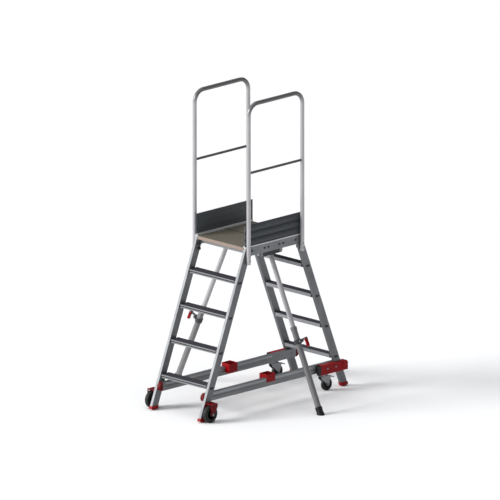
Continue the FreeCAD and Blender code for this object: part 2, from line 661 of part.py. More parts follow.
def guard_tube(name, side):
    """The bent guardrail tube, swept from a ring along its path."""
    body = doc.addObject("PartDesign::Body", name)
    path = new_sketch(body, "YZ_Plane", name + "_path")
    guard_path(path)
    ring = new_sketch(body, "XY_Plane", name + "_ring")
    ring.setExpression("AttachmentOffset.Base.z", "dims.guard_low")
    draw_circle(ring, 0, "-dims.guard_y", "dims.guard_r")
    draw_circle(ring, 0, "-dims.guard_y", "dims.guard_bore")
    doc.recompute()
    pipe = body.newObject("PartDesign::AdditivePipe", name + "_pipe")
    pipe.Profile = ring
    pipe.Spine = (path, [""])
    return place(body, f"{side} * dims.guard_x", 0, 0)


knobs = []
for side_name, side in SIDES:
    tube = guard_tube(f"guard_{side_name}_tube", side)
    holes = []
    for end_name, end in ENDS:
        for height in ("knob_high_z", "knob_low_z"):
            name = f"{height}_{end_name}_{side_name}"
            y, z = f"{end} * dims.guard_y", f"dims.{height}"
            holes.append(bolt_hole(name + "_post", side, "dims.guard_x - 30", "dims.guard_x + 30",
                                   y, z))
            inner_face = "dims.stile_inner - 0.2"
            grip = rod(name + "_grip", "dims.knob_r", "x", f"{side} * ({inner_face})",
                       f"{side} * ({inner_face} - dims.knob_deep)", y, z)
            hub = rod(name + "_hub", "dims.knob_r * 0.6", "x",
                      f"{side} * ({inner_face} - dims.knob_deep)",
                      f"{side} * ({inner_face} - dims.knob_deep - 3)", y, z)
            shank = rod(name + "_shank", "dims.bolt_r", "x", f"{side} * ({inner_face} - 2)",
                        f"{side} * (dims.guard_x + dims.guard_r + 2)", y, z)
            dome = rod(name + "_dome", "dims.head_r", "x",
                       f"{side} * (dims.guard_x + dims.guard_r + 0.1)",
                       f"{side} * (dims.guard_x + dims.guard_r + 4)", y, z)
            knobs.append(fuse(name, [grip, hub, shank, dome]))
    node(cut(f"guard_{side_name}", tube, holes), f"guardrail_{side_name}")

mids = []
for side_name, side in SIDES:
    reach = "(dims.guard_y - dims.guard_r - 0.1)"
    skin = rod(f"mid_{side_name}_skin", "dims.mid_rail_r", "y", f"-{reach}", reach,
               f"{side} * dims.guard_x", "dims.mid_rail_z")
    core = rod(f"mid_{side_name}_core", "dims.mid_rail_r - 1.5", "y", f"-{reach} - 5",
               f"{reach} + 5", f"{side} * dims.guard_x", "dims.mid_rail_z")
    mids.append(cut(f"mid_{side_name}", skin, [core]))
node(group("mid_group", mids), "mid_rails")
node(group("knob_group", knobs), "guardrail_knobs")


def toe_section(side):
    """A toe board's section: three broad waves outside, three fine grooves inside."""
    waves, steps = 3, 8
    points = []
    for i in range(waves * steps + 1):
        share = i / (waves * steps)
        swell = abs(math.sin(math.pi * waves * share)) ** 0.7
        points.append((f"dims.toe_inner + dims.toe_thin + {swell:.4f} * dims.toe_wave",
                       f"dims.toe_low + {share:.5f} * dims.toe_high"))
    inner = [("dims.toe_inner", "dims.toe_low + dims.toe_high")]
    for groove in (3, 2, 1):
        z = f"dims.toe_low + {groove} * dims.toe_high / 3.45 - 1"
        inner += [("dims.toe_inner", f"{z} + 2.5"), ("dims.toe_inner + 2", f"{z} + 1.5"),
                  ("dims.toe_inner + 2", f"{z} - 1.5"), ("dims.toe_inner", f"{z} - 2.5")]
    inner.append(("dims.toe_inner", "dims.toe_low"))
    return [[(f"{side} * ({x})", z) for x, z in points + inner]]


channels = []
for side_name, side in SIDES:
    board = pad_body(f"toe_{side_name}", "XZ_Plane", toe_section(side), "2 * dims.toe_half_y",
                     symmetric=True)
    node(board, f"toe_board_{side_name}")
    strip = block(f"strip_{side_name}", (f"{side} * (dims.toe_inner - 8)",
                                         f"{side} * (dims.toe_inner - 0.4)"),
                  ("-dims.deck_half_y", "dims.deck_half_y"),
                  ("dims.side_rail_top + 0.2", "dims.deck_top + 14"))
    sole = block(f"sole_{side_name}", (f"{side} * (dims.toe_inner - 8)",
                                       f"{side} * (dims.toe_inner + 15)"),
                 ("-dims.deck_half_y", "dims.deck_half_y"),
                 ("dims.side_rail_top + 0.2", "dims.toe_low - 0.3"))
    channels.append(fuse(f"channel_{side_name}", [strip, sole]))
node(group("channel_group", channels), "toe_board_channels")

# ---------------------------------------------------------------- base

BAR_OUT = "(dims.stile_inner - dims.bar_gap)"
BAR_IN = "(dims.stile_inner - dims.bar_gap - dims.bar_thick)"
BAR_TOP = "(dims.bar_low + dims.bar_high)"

BRACKET_SCREW_Y = (545, 632)
end_caps = []
for side_name, side in SIDES:
    wall = "dims.bar_wall"
    skin = block(f"bar_{side_name}_skin", (f"{side} * {BAR_IN}", f"{side} * {BAR_OUT}"),
                 ("-dims.bar_front_y", "dims.bar_rear_y"), ("dims.bar_low", BAR_TOP))
    core = block(f"bar_{side_name}_core",
                 (f"{side} * ({BAR_IN} + {wall})", f"{side} * ({BAR_OUT} - {wall})"),
                 ("-dims.bar_front_y - 5", "dims.bar_rear_y + 5"),
                 (f"dims.bar_low + {wall}", f"{BAR_TOP} - {wall}"))
    tools = [core]
    for at in BRACKET_SCREW_Y:
        tools.append(bolt_hole(f"bar_screw_hole_{side_name}_{at}", side, BAR_OUT + " - 6",
                               BAR_OUT + " + 5", at, PIVOT_Z))
    for end_name, end in ENDS:
        tools.append(bolt_hole(f"bar_hole_{end_name}_{side_name}", side, BAR_IN + " - 5",
                               BAR_OUT + " + 5", f"{end} * {PIVOT_LINE}", PIVOT_Z))
        disc = rod(f"bar_cap_{end_name}_{side_name}_disc", "dims.bar_high / 2", "x",
                   f"{side} * {BAR_IN}", f"{side} * {BAR_OUT}",
                   f"{end} * dims.bar_{end_name}_y", PIVOT_Z)
        outside = block(f"bar_cap_{end_name}_{side_name}_half", (f"{side} * 150", f"{side} * 300"),
                        (f"{end} * (dims.bar_{end_name}_y + 0.05)", f"{end} * 900"), (100, 300))
        half = common(f"bar_cap_{end_name}_{side_name}_nose", disc, outside)
        plug = block(f"bar_cap_{end_name}_{side_name}_plug",
                     (f"{side} * ({BAR_IN} + {wall} + 0.1)", f"{side} * ({BAR_OUT} - {wall} - 0.1)"),
                     (f"{end} * (dims.bar_{end_name}_y + 1)",
                      f"{end} * (dims.bar_{end_name}_y - dims.bar_plug)"),
                     (f"dims.bar_low + {wall} + 0.1", f"{BAR_TOP} - {wall} - 0.1"))
        end_caps.append(fuse(f"bar_cap_{end_name}_{side_name}", [half, plug]))
    node(cut(f"bar_{side_name}", skin, tools), f"base_bar_{side_name}")
node(group("bar_cap_group", end_caps), "bar_end_caps")

cups = []
for side_name, side in SIDES:
    wall = "dims.cup_wall"
    y = (f"{side} * dims.cup_near", f"-{side} * dims.cup_far")
    y_in = (f"{side} * (dims.cup_near - {wall})", f"-{side} * (dims.cup_far - {wall})")
    pocket = block(f"cup_{side_name}_pocket", (f"{side} * dims.cup_in", f"{side} * ({BAR_IN} - 0.1)"),
                   y, ("dims.cup_low", "dims.cup_top"))
    saddle = block(f"cup_{side_name}_saddle", (f"{side} * ({BAR_IN} - 4)", f"{side} * ({BAR_OUT} + 5)"),
                   y, (f"{BAR_TOP} + 0.1", "dims.cup_top"))
    cheek = block(f"cup_{side_name}_cheek", (f"{side} * ({BAR_OUT} + 0.2)", f"{side} * ({BAR_OUT} + 5)"),
                  y, ("dims.cup_lip", "dims.cup_top"))
    hollow = block(f"cup_{side_name}_hollow",
                   (f"{side} * (dims.cup_in + {wall})", f"{side} * ({BAR_IN} - 4)"),
                   y_in, (f"dims.cup_low + {wall}", "dims.cup_top + 5"))
    relief = block(f"cup_{side_name}_relief",
                   (f"{side} * ({BAR_IN} + 1)", f"{side} * ({BAR_OUT} + 1)"),
                   y_in, (f"{BAR_TOP} + 5", "dims.cup_top + 5"))
    body = fuse(f"cup_{side_name}_body", [pocket, saddle, cheek])
    cups.append(cut(f"cup_{side_name}", body, [hollow, relief]))
node(group("cup_group", cups), "stow_cups")



def bracket_outline(start, low):
    """A rear bracket's side from a start and an underside, with its rear corner sloped."""
    end_y, top = "dims.bracket_end", "dims.bracket_top"
    return [[(start, low), (start, top), (f"{end_y} - dims.bracket_slope", top),
             (end_y, f"{top} - dims.bracket_slope"), (end_y, low)]]


for side_name, side in SIDES:
    wall = "dims.bracket_wall"
    inner_face = f"({BAR_OUT} + 0.4)"
    bracket_wide = f"(dims.bracket_out - {inner_face})"
    skin = pad_body(f"bracket_{side_name}_skin", "YZ_Plane",
                    bracket_outline("dims.bracket_start + 16", "dims.bracket_low"), bracket_wide)
    place(skin, inner_face if side > 0 else "-dims.bracket_out", 0, 0)
    nose_low = rod(f"bracket_{side_name}_nose", f"({span(inner_face, 'dims.bracket_out')}) / 2", "z",
                   "dims.bracket_low", "dims.bracket_top",
                   f"{side} * ({inner_face} + dims.bracket_out) / 2", "dims.bracket_start + 20.6")
    heel = pad_body(f"bracket_{side_name}_heel", "YZ_Plane",
                    bracket_outline("dims.bracket_end - dims.bracket_heel", "dims.bracket_low + 3"),
                    "15")
    place(heel, "dims.bracket_out - 12" if side > 0 else "-dims.bracket_out - 3", 0, 0)
    body = fuse(f"bracket_{side_name}_body", [skin, nose_low, heel])
    inside = block(f"bracket_{side_name}_inside",
                   (f"{side} * 200", f"{side} * (dims.bracket_out - {wall})"),
                   ("dims.bracket_start + 40", f"dims.bracket_end - {wall}"),
                   (f"dims.bracket_low + {wall}", f"dims.bracket_top - {wall}"))
    room = stile_envelope(f"bracket_{side_name}_room", side, 1, "0.5")
    stem_hole = rod(f"bracket_{side_name}_stem_hole", "dims.stem_hole_r", "z",
                    "dims.bracket_low - 5", f"dims.bracket_low + {wall} + 1",
                    f"{side} * dims.castor_x", "dims.castor_y")
    tools = [inside, room, stem_hole]
    for at in BRACKET_SCREW_Y:
        tools.append(bolt_hole(f"bracket_{side_name}_{at}", side, "dims.bracket_out - 8",
                               "dims.bracket_out + 8", at, PIVOT_Z))
        bolts["base"].append(hex_bolt(f"bracket_screw_{side_name}_{at}", side, "dims.bracket_out",
                                      BAR_OUT + " - 8", at, PIVOT_Z))
    node(cut(f"bracket_{side_name}", body, tools), f"rear_bracket_{side_name}")
node(group("base_bolt_group", bolts["base"]), "base_bolts")

# ---------------------------------------------------------------- front wheels

WHEEL_Y = "-dims.wheel_y"


def arm_outline():
    """A wheel bracket's arm from its broad top down to the hub, in the YZ plane."""
    hub = "dims.arm_eye_r"
    return [[("-dims.arm_front", "dims.arm_top"), ("-dims.arm_front", "dims.arm_top - 34"),
             (f"{WHEEL_Y} - {hub}", "dims.wheel_r"), (f"{WHEEL_Y} + {hub}", "dims.wheel_r"),
             ("-dims.arm_back", "dims.arm_top - 26"), ("-dims.arm_back", "dims.arm_top")]]


brackets = []
axles = []
for side_name, side in SIDES:
    parts = []
    tools = []
    for arm, face in (("inner", "dims.arm_in"), ("outer", "(dims.arm_out - dims.arm_thick)")):
        plate = pad_body(f"arm_{arm}_{side_name}", "YZ_Plane", arm_outline(), "dims.arm_thick")
        place(plate, face if side > 0 else f"-{face} - dims.arm_thick", 0, 0)
        eye = rod(f"arm_{arm}_{side_name}_eye", "dims.arm_eye_r", "x", f"{side} * {face}",
                  f"{side} * ({face} + dims.arm_thick)", WHEEL_Y, "dims.wheel_r")
        parts += [plate, eye]
    parts.append(block(f"arm_bridge_{side_name}", (f"{side} * dims.arm_in", f"{side} * dims.arm_out"),
                       ("-dims.arm_front", "-dims.arm_back"), ("dims.arm_top - 6", "dims.arm_top")))
    parts.append(rod(f"arm_boss_{side_name}", "dims.arm_boss_r", "x", f"{side} * (dims.arm_in + 2)",
                     f"{side} * (dims.wheel_x - dims.hub_wide / 2 - 0.5)", WHEEL_Y, "dims.wheel_r"))
    parts.append(rod(f"arm_boss_out_{side_name}", "dims.arm_boss_r", "x", f"{side} * (dims.arm_out - 2)",
                     f"{side} * (dims.wheel_x + dims.hub_wide / 2 + 0.5)", WHEEL_Y, "dims.wheel_r"))
    tools.append(rod(f"arm_axle_hole_{side_name}", "dims.axle_r + 0.1", "x", f"{side} * 200",
                     f"{side} * 400", WHEEL_Y, "dims.wheel_r"))
    for z in ARM_BOLT_Z:
        tools.append(bolt_hole(f"arm_fixing_{side_name}_{z}", side, "dims.arm_in - 5",
                               "dims.arm_in + dims.arm_thick + 1", f"-{STILE_LINE.format(z=z)}", z))
    tools.append(rod(f"arm_window_{side_name}", 8, "x", f"{side} * (dims.arm_out - 12)",
                     f"{side} * 400", "-708", "dims.arm_top - 14"))
    brackets.append(cut(f"arm_{side_name}", fuse(f"arm_{side_name}_body", parts), tools))
    shaft = rod(f"axle_{side_name}_shaft", "dims.axle_r", "x", f"{side} * (dims.arm_in + 0.2)",
                f"{side} * (dims.arm_out + 1)", WHEEL_Y, "dims.wheel_r")
    head = rod(f"axle_{side_name}_head", "dims.axle_head_r", "x", f"{side} * (dims.arm_out + 0.1)",
               f"{side} * (dims.arm_out + 5)", WHEEL_Y, "dims.wheel_r")
    axles.append(fuse(f"axle_{side_name}", [shaft, head]))

    half = "dims.wheel_wide / 2"
    tyre = revolved_body(f"tyre_{side_name}", [
        (f"-{half} + 2", "dims.rim_r"), (f"-{half}", "dims.rim_r + 3"),
        (f"-{half}", "dims.wheel_r - 9"), (f"-{half} + 2.5", "dims.wheel_r - 4"),
        (f"-{half} + 7", "dims.wheel_r - 1"), (f"-{half} + 12", "dims.wheel_r"),
        (f"{half} - 12", "dims.wheel_r"), (f"{half} - 7", "dims.wheel_r - 1"),
        (f"{half} - 2.5", "dims.wheel_r - 4"), (half, "dims.wheel_r - 9"),
        (half, "dims.rim_r + 3"), (f"{half} - 2", "dims.rim_r")])
    place(tyre, f"{side} * dims.wheel_x", WHEEL_Y, "dims.wheel_r")
    node(tyre, f"front_tyre_{side_name}")
    bore, hub = "(dims.axle_r + dims.run_clear)", "dims.hub_wide / 2"
    rim = revolved_body(f"rim_{side_name}", [
        (f"-{hub}", bore), (f"-{hub}", "dims.hub_r - 2"), (f"-{hub} + 2", "dims.hub_r"),
        (-6, "dims.hub_r + 3"), (-4, "dims.rim_r - 9"), (f"-{half} + 3", "dims.rim_r - 6"),
        (f"-{half} + 3", "dims.rim_r"), (f"{half} - 3", "dims.rim_r"),
        (f"{half} - 3", "dims.rim_r - 6"), (4, "dims.rim_r - 9"), (6, "dims.hub_r + 3"),
        (f"{hub} - 2", "dims.hub_r"), (hub, "dims.hub_r - 2"), (hub, bore)])
    place(rim, f"{side} * dims.wheel_x", WHEEL_Y, "dims.wheel_r")
    node(rim, f"front_rim_{side_name}")
node(group("arm_group", brackets), "wheel_brackets")
node(group("axle_group", axles), "front_axles")

# ---------------------------------------------------------------- castors

CASTOR_WHEEL_Y = "(dims.castor_y + dims.castor_trail)"
LEG_FACE = "(dims.castor_wide / 2 + dims.fork_gap)"

housings = []
for side_name, side in SIDES:
    x = f"{side} * dims.castor_x"
    plate = block(f"housing_{side_name}_plate", (f"{x} - 14", f"{x} + 22" if side > 0 else f"{x} + 14"),
                  ("dims.castor_y - 30", "dims.castor_y + 30"),
                  ("dims.bracket_low - 4", "dims.bracket_low - 0.1"))
    race = rod(f"housing_{side_name}_race", "dims.race_r", "z", "dims.fork_top + 0.6", "dims.bracket_low - 3",
               x, "dims.castor_y")
    stem = rod(f"housing_{side_name}_stem", "dims.stem_r", "z", "dims.fork_top + 1", "dims.bracket_low + 30",
               x, "dims.castor_y")
    nut = rod(f"housing_{side_name}_nut", "dims.nut_r", "z", "dims.bracket_low + dims.bracket_wall + 0.2",
              "dims.bracket_low + dims.bracket_wall + 9", x, "dims.castor_y")
    housings.append(fuse(f"housing_{side_name}", [plate, race, stem, nut]))

    crown = rod(f"crown_{side_name}", "dims.crown_r", "z", "dims.fork_top - 4", "dims.fork_top",
                x, "dims.castor_y")
    shoulder = block(f"shoulder_{side_name}",
                     (f"{x} - {LEG_FACE} - dims.fork_wall", f"{x} + {LEG_FACE} + dims.fork_wall"),
                     ("dims.castor_y - 24", "dims.castor_y + 40"),
                     ("dims.fork_top - 6", "dims.fork_top - 2"))
    shapes = [crown, shoulder]
    outline = [[("dims.castor_y - 30", "dims.fork_top - 2"),
                ("dims.castor_y - 33", "dims.fork_top - 18"),
                (f"{CASTOR_WHEEL_Y} - 11", "dims.castor_r - 1"),
                (f"{CASTOR_WHEEL_Y} - 7", "dims.castor_r - 10"),
                (f"{CASTOR_WHEEL_Y} + 7", "dims.castor_r - 10"),
                (f"{CASTOR_WHEEL_Y} + 11", "dims.castor_r - 1"),
                (f"{CASTOR_WHEEL_Y} + 24", "dims.fork_top - 28"),
                (f"{CASTOR_WHEEL_Y} + 30", "dims.fork_top - 4"),
                ("dims.castor_y + 40", "dims.fork_top - 2")]]
    for cheek, way in (("a", -1), ("b", 1)):
        face = f"{x} - {LEG_FACE} - dims.fork_wall" if way < 0 else f"{x} + {LEG_FACE}"
        shapes.append(place(pad_body(f"fork_{side_name}_{cheek}", "YZ_Plane", outline, "dims.fork_wall"),
                            face, 0, 0))
    axle = rod(f"fork_{side_name}_axle", "dims.castor_axle_r", "x",
               f"{x} - {LEG_FACE} - dims.fork_wall - 3", f"{x} + {LEG_FACE} + dims.fork_wall + 3",
               CASTOR_WHEEL_Y, "dims.castor_r")
    hinge = rod(f"fork_{side_name}_hinge", "dims.pedal_pin_r", "x", f"{x} - {LEG_FACE} - dims.fork_wall - 1",
                f"{x} + {LEG_FACE} + dims.fork_wall + 1", "dims.pedal_y", "dims.pedal_z")
    node(fuse(f"fork_{side_name}", shapes + [axle, hinge]), f"castor_fork_{side_name}")

    half, hub = "dims.castor_wide / 2", f"({LEG_FACE} - 0.5)"
    bore = "(dims.castor_axle_r + dims.run_clear)"
    wheel = revolved_body(f"castor_{side_name}", [
        (f"-{hub}", bore), (f"-{hub}", 10), (f"-{half} + 3", 13), (f"-{half} + 4", "dims.castor_r - 18"),
        (f"-{half}", "dims.castor_r - 14"), (f"-{half}", "dims.castor_r - 6"),
        (f"-{half} + 3", "dims.castor_r - 2"), (f"-{half} + 8", "dims.castor_r"),
        (f"{half} - 8", "dims.castor_r"), (f"{half} - 3", "dims.castor_r - 2"),
        (half, "dims.castor_r - 6"), (half, "dims.castor_r - 14"),
        (f"{half} - 4", "dims.castor_r - 18"), (f"{half} - 3", 13), (hub, 10), (hub, bore)])
    node(place(wheel, x, CASTOR_WHEEL_Y, "dims.castor_r"), f"castor_wheel_{side_name}")

    lip = "dims.pedal_tip_y"
    pedal = pad_body(f"pedal_{side_name}_plate", "YZ_Plane", [[
        ("dims.pedal_y - 5", "dims.pedal_z - 5"), ("dims.pedal_y - 5", "dims.pedal_z + 5"),
        ("dims.pedal_y + 3", "dims.pedal_z + 8"), (f"{lip} - 14", "dims.pedal_z - 2"),
        (lip, "dims.pedal_z - 7"), (lip, "dims.pedal_z - 14"),
        (f"{lip} - 16", "dims.pedal_z - 9"), ("dims.pedal_y + 5", "dims.pedal_z - 3")]],
        f"2 * ({LEG_FACE} - 0.5)", symmetric=True)
    place(pedal, x, 0, 0)
    eye = rod(f"pedal_{side_name}_eye", "dims.pedal_pin_r + dims.run_clear", "x", f"{x} - 30", f"{x} + 30",
              "dims.pedal_y", "dims.pedal_z")
    node(cut(f"pedal_{side_name}", pedal, [eye]), f"brake_pedal_{side_name}")
node(group("housing_group", housings), "castor_housings")

# ---------------------------------------------------------------- stabilisers

leg_brackets = []
for side_name, side in SIDES:
    x, y, z = f"{side} * dims.leg_pivot_x", f"{side} * dims.leg_y", "dims.leg_pivot_z"
    gap = "(dims.leg_tube_r + 1)"
    cheeks = []
    for cheek, way in (("a", -1), ("b", 1)):
        face = (f"{y} + {way} * {gap}", f"{y} + {way} * ({gap} + dims.cheek_thick)")
        cheeks.append(block(f"leg_bracket_{side_name}_{cheek}",
                            (f"{x} - dims.cheek_half", f"{x} + dims.cheek_half"), face,
                            (f"{z} - 12", "dims.deck_top - dims.deck_thick - 0.2")))
    cheeks.append(block(f"leg_bracket_{side_name}_top", (f"{x} - 24", f"{x} + 24"),
                        (f"{y} - {gap} - dims.cheek_thick", f"{y} + {gap} + dims.cheek_thick"),
                        ("dims.deck_top - dims.deck_thick - 5", "dims.deck_top - dims.deck_thick - 0.2")))
    body = fuse(f"leg_bracket_{side_name}_body", cheeks)
    room = block(f"leg_bracket_{side_name}_room", (f"{x} - 40", f"{x} + 40"),
                 ("58 - dims.beam_wide / 2 - 0.2", "58 + dims.beam_wide / 2 + 0.2") if side > 0 else
                 ("-58 - dims.beam_wide / 2 - 0.2", "-58 + dims.beam_wide / 2 + 0.2"),
                 ("dims.beam_low - 0.2", "dims.deck_top"))
    bracket = cut(f"leg_bracket_{side_name}", body, [room])
    pin = rod(f"leg_pin_{side_name}", "dims.pin_r", "y", f"{y} - {gap} - 6", f"{y} + {gap} + 6", x, z)
    leg_brackets.append(fuse(f"leg_mount_{side_name}", [bracket, pin]))

    upper = rod(f"upper_{side_name}_skin", "dims.leg_tube_r", "z", "-dims.leg_tube_end", "14", 0, 0)
    bore = rod(f"upper_{side_name}_bore", "dims.leg_tube_bore", "z", "-dims.leg_tube_end - 5", "20", 0, 0)
    eye = rod(f"upper_{side_name}_eye", "dims.pin_r + dims.run_clear", "y", "-30", "30", 0, 0)
    tube = cut(f"upper_{side_name}", upper, [bore, eye])
    node(tilted(f"upper_{side_name}_leg", [tube], side), f"stabiliser_upper_{side_name}")

    end = "(dims.leg_pivot_z / cos(dims.splay))"
    outer = rod(f"lower_{side_name}_skin", "dims.leg_outer_r", "z", f"-{end} + dims.tube_lift",
                "-dims.leg_outer_start", 0, 0)
    ring = rod(f"lower_{side_name}_ring", "dims.leg_outer_r + dims.ring_grow", "z",
               "-dims.leg_outer_start - dims.ring_high", "-dims.leg_outer_start", 0, 0)
    bore = rod(f"lower_{side_name}_bore", "dims.leg_outer_bore", "z", f"-{end}",
               "-dims.leg_outer_start + 5", 0, 0)
    lower_tube = cut(f"lower_{side_name}", fuse(f"lower_{side_name}_body", [outer, ring]), [bore])
    node(tilted(f"lower_{side_name}_leg", [lower_tube], side), f"stabiliser_lower_{side_name}")

    shoe = doc.addObject("Part::Cone", f"shoe_{side_name}_flare")
    bind(shoe, Radius1="dims.foot_r", Radius2="dims.leg_outer_r + dims.sleeve_grow",
         Height="dims.foot_long * 0.45")
    place(shoe, 0, 0, f"-{end}")
    skirt = doc.addObject("Part::Cylinder", f"shoe_{side_name}_skirt")
    bind(skirt, Radius="dims.foot_r", Height="20")
    place(skirt, 0, 0, f"-{end} - 20")
    sleeve = rod(f"shoe_{side_name}_sleeve", "dims.leg_outer_r + dims.sleeve_grow", "z",
                 f"-{end} + dims.foot_long * 0.45", f"-{end} + dims.foot_long", 0, 0)
    socket = rod(f"shoe_{side_name}_socket", "dims.leg_outer_r + 0.1", "z", f"-{end} + dims.tube_lift - 0.2",
                 f"-{end} + dims.foot_long + 10", 0, 0)
    shoe_outer = fuse(f"shoe_{side_name}_outer", [shoe, skirt, sleeve])
    foot = cut(f"shoe_{side_name}_body", shoe_outer, [socket])
    tilted(f"shoe_{side_name}_leg", [foot], side)
    floor = block(f"shoe_{side_name}_floor", (f"{side} * 500", f"{side} * 900"), (-200, 200), (0, 300))
    node(common(f"shoe_{side_name}", foot, floor), f"rubber_foot_{side_name}")

    middle = "-dims.clamp_at"
    low, high = f"{middle} - dims.clamp_high / 2", f"{middle} + dims.clamp_high / 2"
    band = rod(f"clamp_{side_name}_band", "dims.clamp_r", "z", low, high, 0, 0)
    pin_z = f"{middle} + dims.pin_lift"
    neck = block(f"clamp_{side_name}_neck", ("0", f"{side} * (dims.clamp_r + 14)"),
                 ("-dims.neck_half", "dims.neck_half"), (f"{low} + 4", f"{high} - 4"))
    jaw = block(f"clamp_{side_name}_jaw",
                (f"{side} * (dims.clamp_r + 14)", f"{side} * (dims.clamp_arm + 8)"),
                ("-dims.jaw_half", "dims.jaw_half"), (f"{middle} + 1", f"{high} - 4"))
    ear = rod(f"clamp_{side_name}_ear", 9, "y", "-dims.jaw_half", "dims.jaw_half",
              f"{side} * dims.clamp_arm", pin_z)
    lug = rod(f"clamp_{side_name}_lug", "dims.lug_r", "y", "-dims.lug_half", "dims.lug_half",
              f"{side} * dims.lug_at", middle)
    hole = rod(f"clamp_{side_name}_hole", "dims.leg_outer_r + 0.15", "z", f"{low} - 5", f"{high} + 5", 0, 0)
    pivot = rod(f"clamp_{side_name}_pivot", "dims.pin_r - 1", "y", -13, 13,
                f"{side} * dims.clamp_arm", pin_z)
    slit = block(f"clamp_{side_name}_slit", (f"{side} * 10", f"{side} * (dims.clamp_r + 10)"),
                 (-1.5, 1.5), (f"{low} - 5", f"{high} + 5"))
    blank = fuse(f"clamp_{side_name}_blank", [band, neck, jaw, ear, lug, pivot])
    collar = cut(f"clamp_{side_name}_cast", blank, [hole, slit])
    node(tilted(f"clamp_{side_name}_leg", [collar], side), f"clamp_collar_{side_name}")

    ears = []
    for cheek, way in (("a", -1), ("b", 1)):
        ears.append(block(f"lever_{side_name}_{cheek}",
                          (f"{side} * (dims.clamp_arm - 9)", f"{side} * (dims.clamp_arm + 9)"),
                          (f"{way} * (dims.jaw_half + 0.6)", f"{way} * dims.lever_half"),
                          (f"{middle} - 14", f"{middle} + 14")))
    ears.append(block(f"lever_{side_name}_grip",
                      (f"{side} * (dims.clamp_arm - 6)", f"{side} * (dims.clamp_arm + 9)"),
                      ("-dims.lever_half", "dims.lever_half"),
                      (f"{middle} - dims.lever_drop", f"{middle} - 11")))
    eye = rod(f"lever_{side_name}_eye", "dims.pin_r - 1 + dims.run_clear", "y", -30, 30,
              f"{side} * dims.clamp_arm", pin_z)
    lever = cut(f"lever_{side_name}_body", fuse(f"lever_{side_name}_blank", ears), [eye])
    node(tilted(f"lever_{side_name}_leg", [lever], side), f"clamp_lever_{side_name}")
node(group("leg_bracket_group", leg_brackets), "stabiliser_brackets")

# ---------------------------------------------------------------- writing

doc.recompute()
for obj in doc.Objects:
    if "Invalid" in obj.State or "Error" in obj.State:
        raise RuntimeError(f"{obj.Name} failed: {obj.State}")
os.makedirs("parts", exist_ok=True)
for obj in nodes:
    shape = obj.Shape
    if shape.isNull() or not shape.isValid() or not shape.Solids:
        raise RuntimeError(f"{obj.Label} has no valid solid")
for obj in nodes:
    obj.Shape.exportStep(f"parts/{obj.Label}.step")
    print(obj.Label, len(obj.Shape.Solids), round(obj.Shape.Volume))
print(len(nodes), "nodes")
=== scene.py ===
import json
import math

import bmesh
import bpy
from mathutils import Matrix, Vector


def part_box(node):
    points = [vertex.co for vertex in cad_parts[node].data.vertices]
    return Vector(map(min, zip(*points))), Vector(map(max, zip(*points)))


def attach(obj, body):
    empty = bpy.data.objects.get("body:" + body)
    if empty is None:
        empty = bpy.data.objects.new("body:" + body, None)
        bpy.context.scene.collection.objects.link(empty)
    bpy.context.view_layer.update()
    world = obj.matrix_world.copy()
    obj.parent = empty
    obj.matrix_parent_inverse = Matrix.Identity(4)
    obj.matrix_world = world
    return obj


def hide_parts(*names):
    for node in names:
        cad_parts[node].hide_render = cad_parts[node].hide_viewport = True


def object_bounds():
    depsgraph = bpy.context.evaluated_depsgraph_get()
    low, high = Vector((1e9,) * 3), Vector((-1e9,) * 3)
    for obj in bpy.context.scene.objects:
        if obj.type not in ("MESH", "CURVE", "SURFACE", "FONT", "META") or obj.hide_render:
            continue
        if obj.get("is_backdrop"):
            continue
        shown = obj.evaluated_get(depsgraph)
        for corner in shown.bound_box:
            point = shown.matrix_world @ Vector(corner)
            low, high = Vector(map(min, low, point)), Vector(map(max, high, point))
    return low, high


# Looks of a mobile double-sided work platform, in metres, in the CAD frame:
# +X to the right across the treads, +Y to the rear, +Z up, floor at zero.

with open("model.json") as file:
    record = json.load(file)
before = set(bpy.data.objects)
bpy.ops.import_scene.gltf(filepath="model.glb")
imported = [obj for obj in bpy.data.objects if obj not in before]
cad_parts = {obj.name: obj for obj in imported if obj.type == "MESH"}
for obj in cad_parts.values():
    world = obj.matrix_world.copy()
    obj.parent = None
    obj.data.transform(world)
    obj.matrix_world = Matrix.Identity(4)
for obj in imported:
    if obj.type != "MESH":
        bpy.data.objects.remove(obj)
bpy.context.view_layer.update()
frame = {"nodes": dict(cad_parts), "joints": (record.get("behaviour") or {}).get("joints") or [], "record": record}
record = frame["record"]
nodes = frame["nodes"]
SLOT_OF = {row["node"]: row["material_slot"] for row in record["subparts"]}
JOINTS = {j["name"]: j for j in frame["joints"]}
SIDES = (("left", -1), ("right", 1))
MM = 0.001
LEAN = math.radians(21.4)
SPLAY = math.radians(25)


# ---------------------------------------------------------------- materials

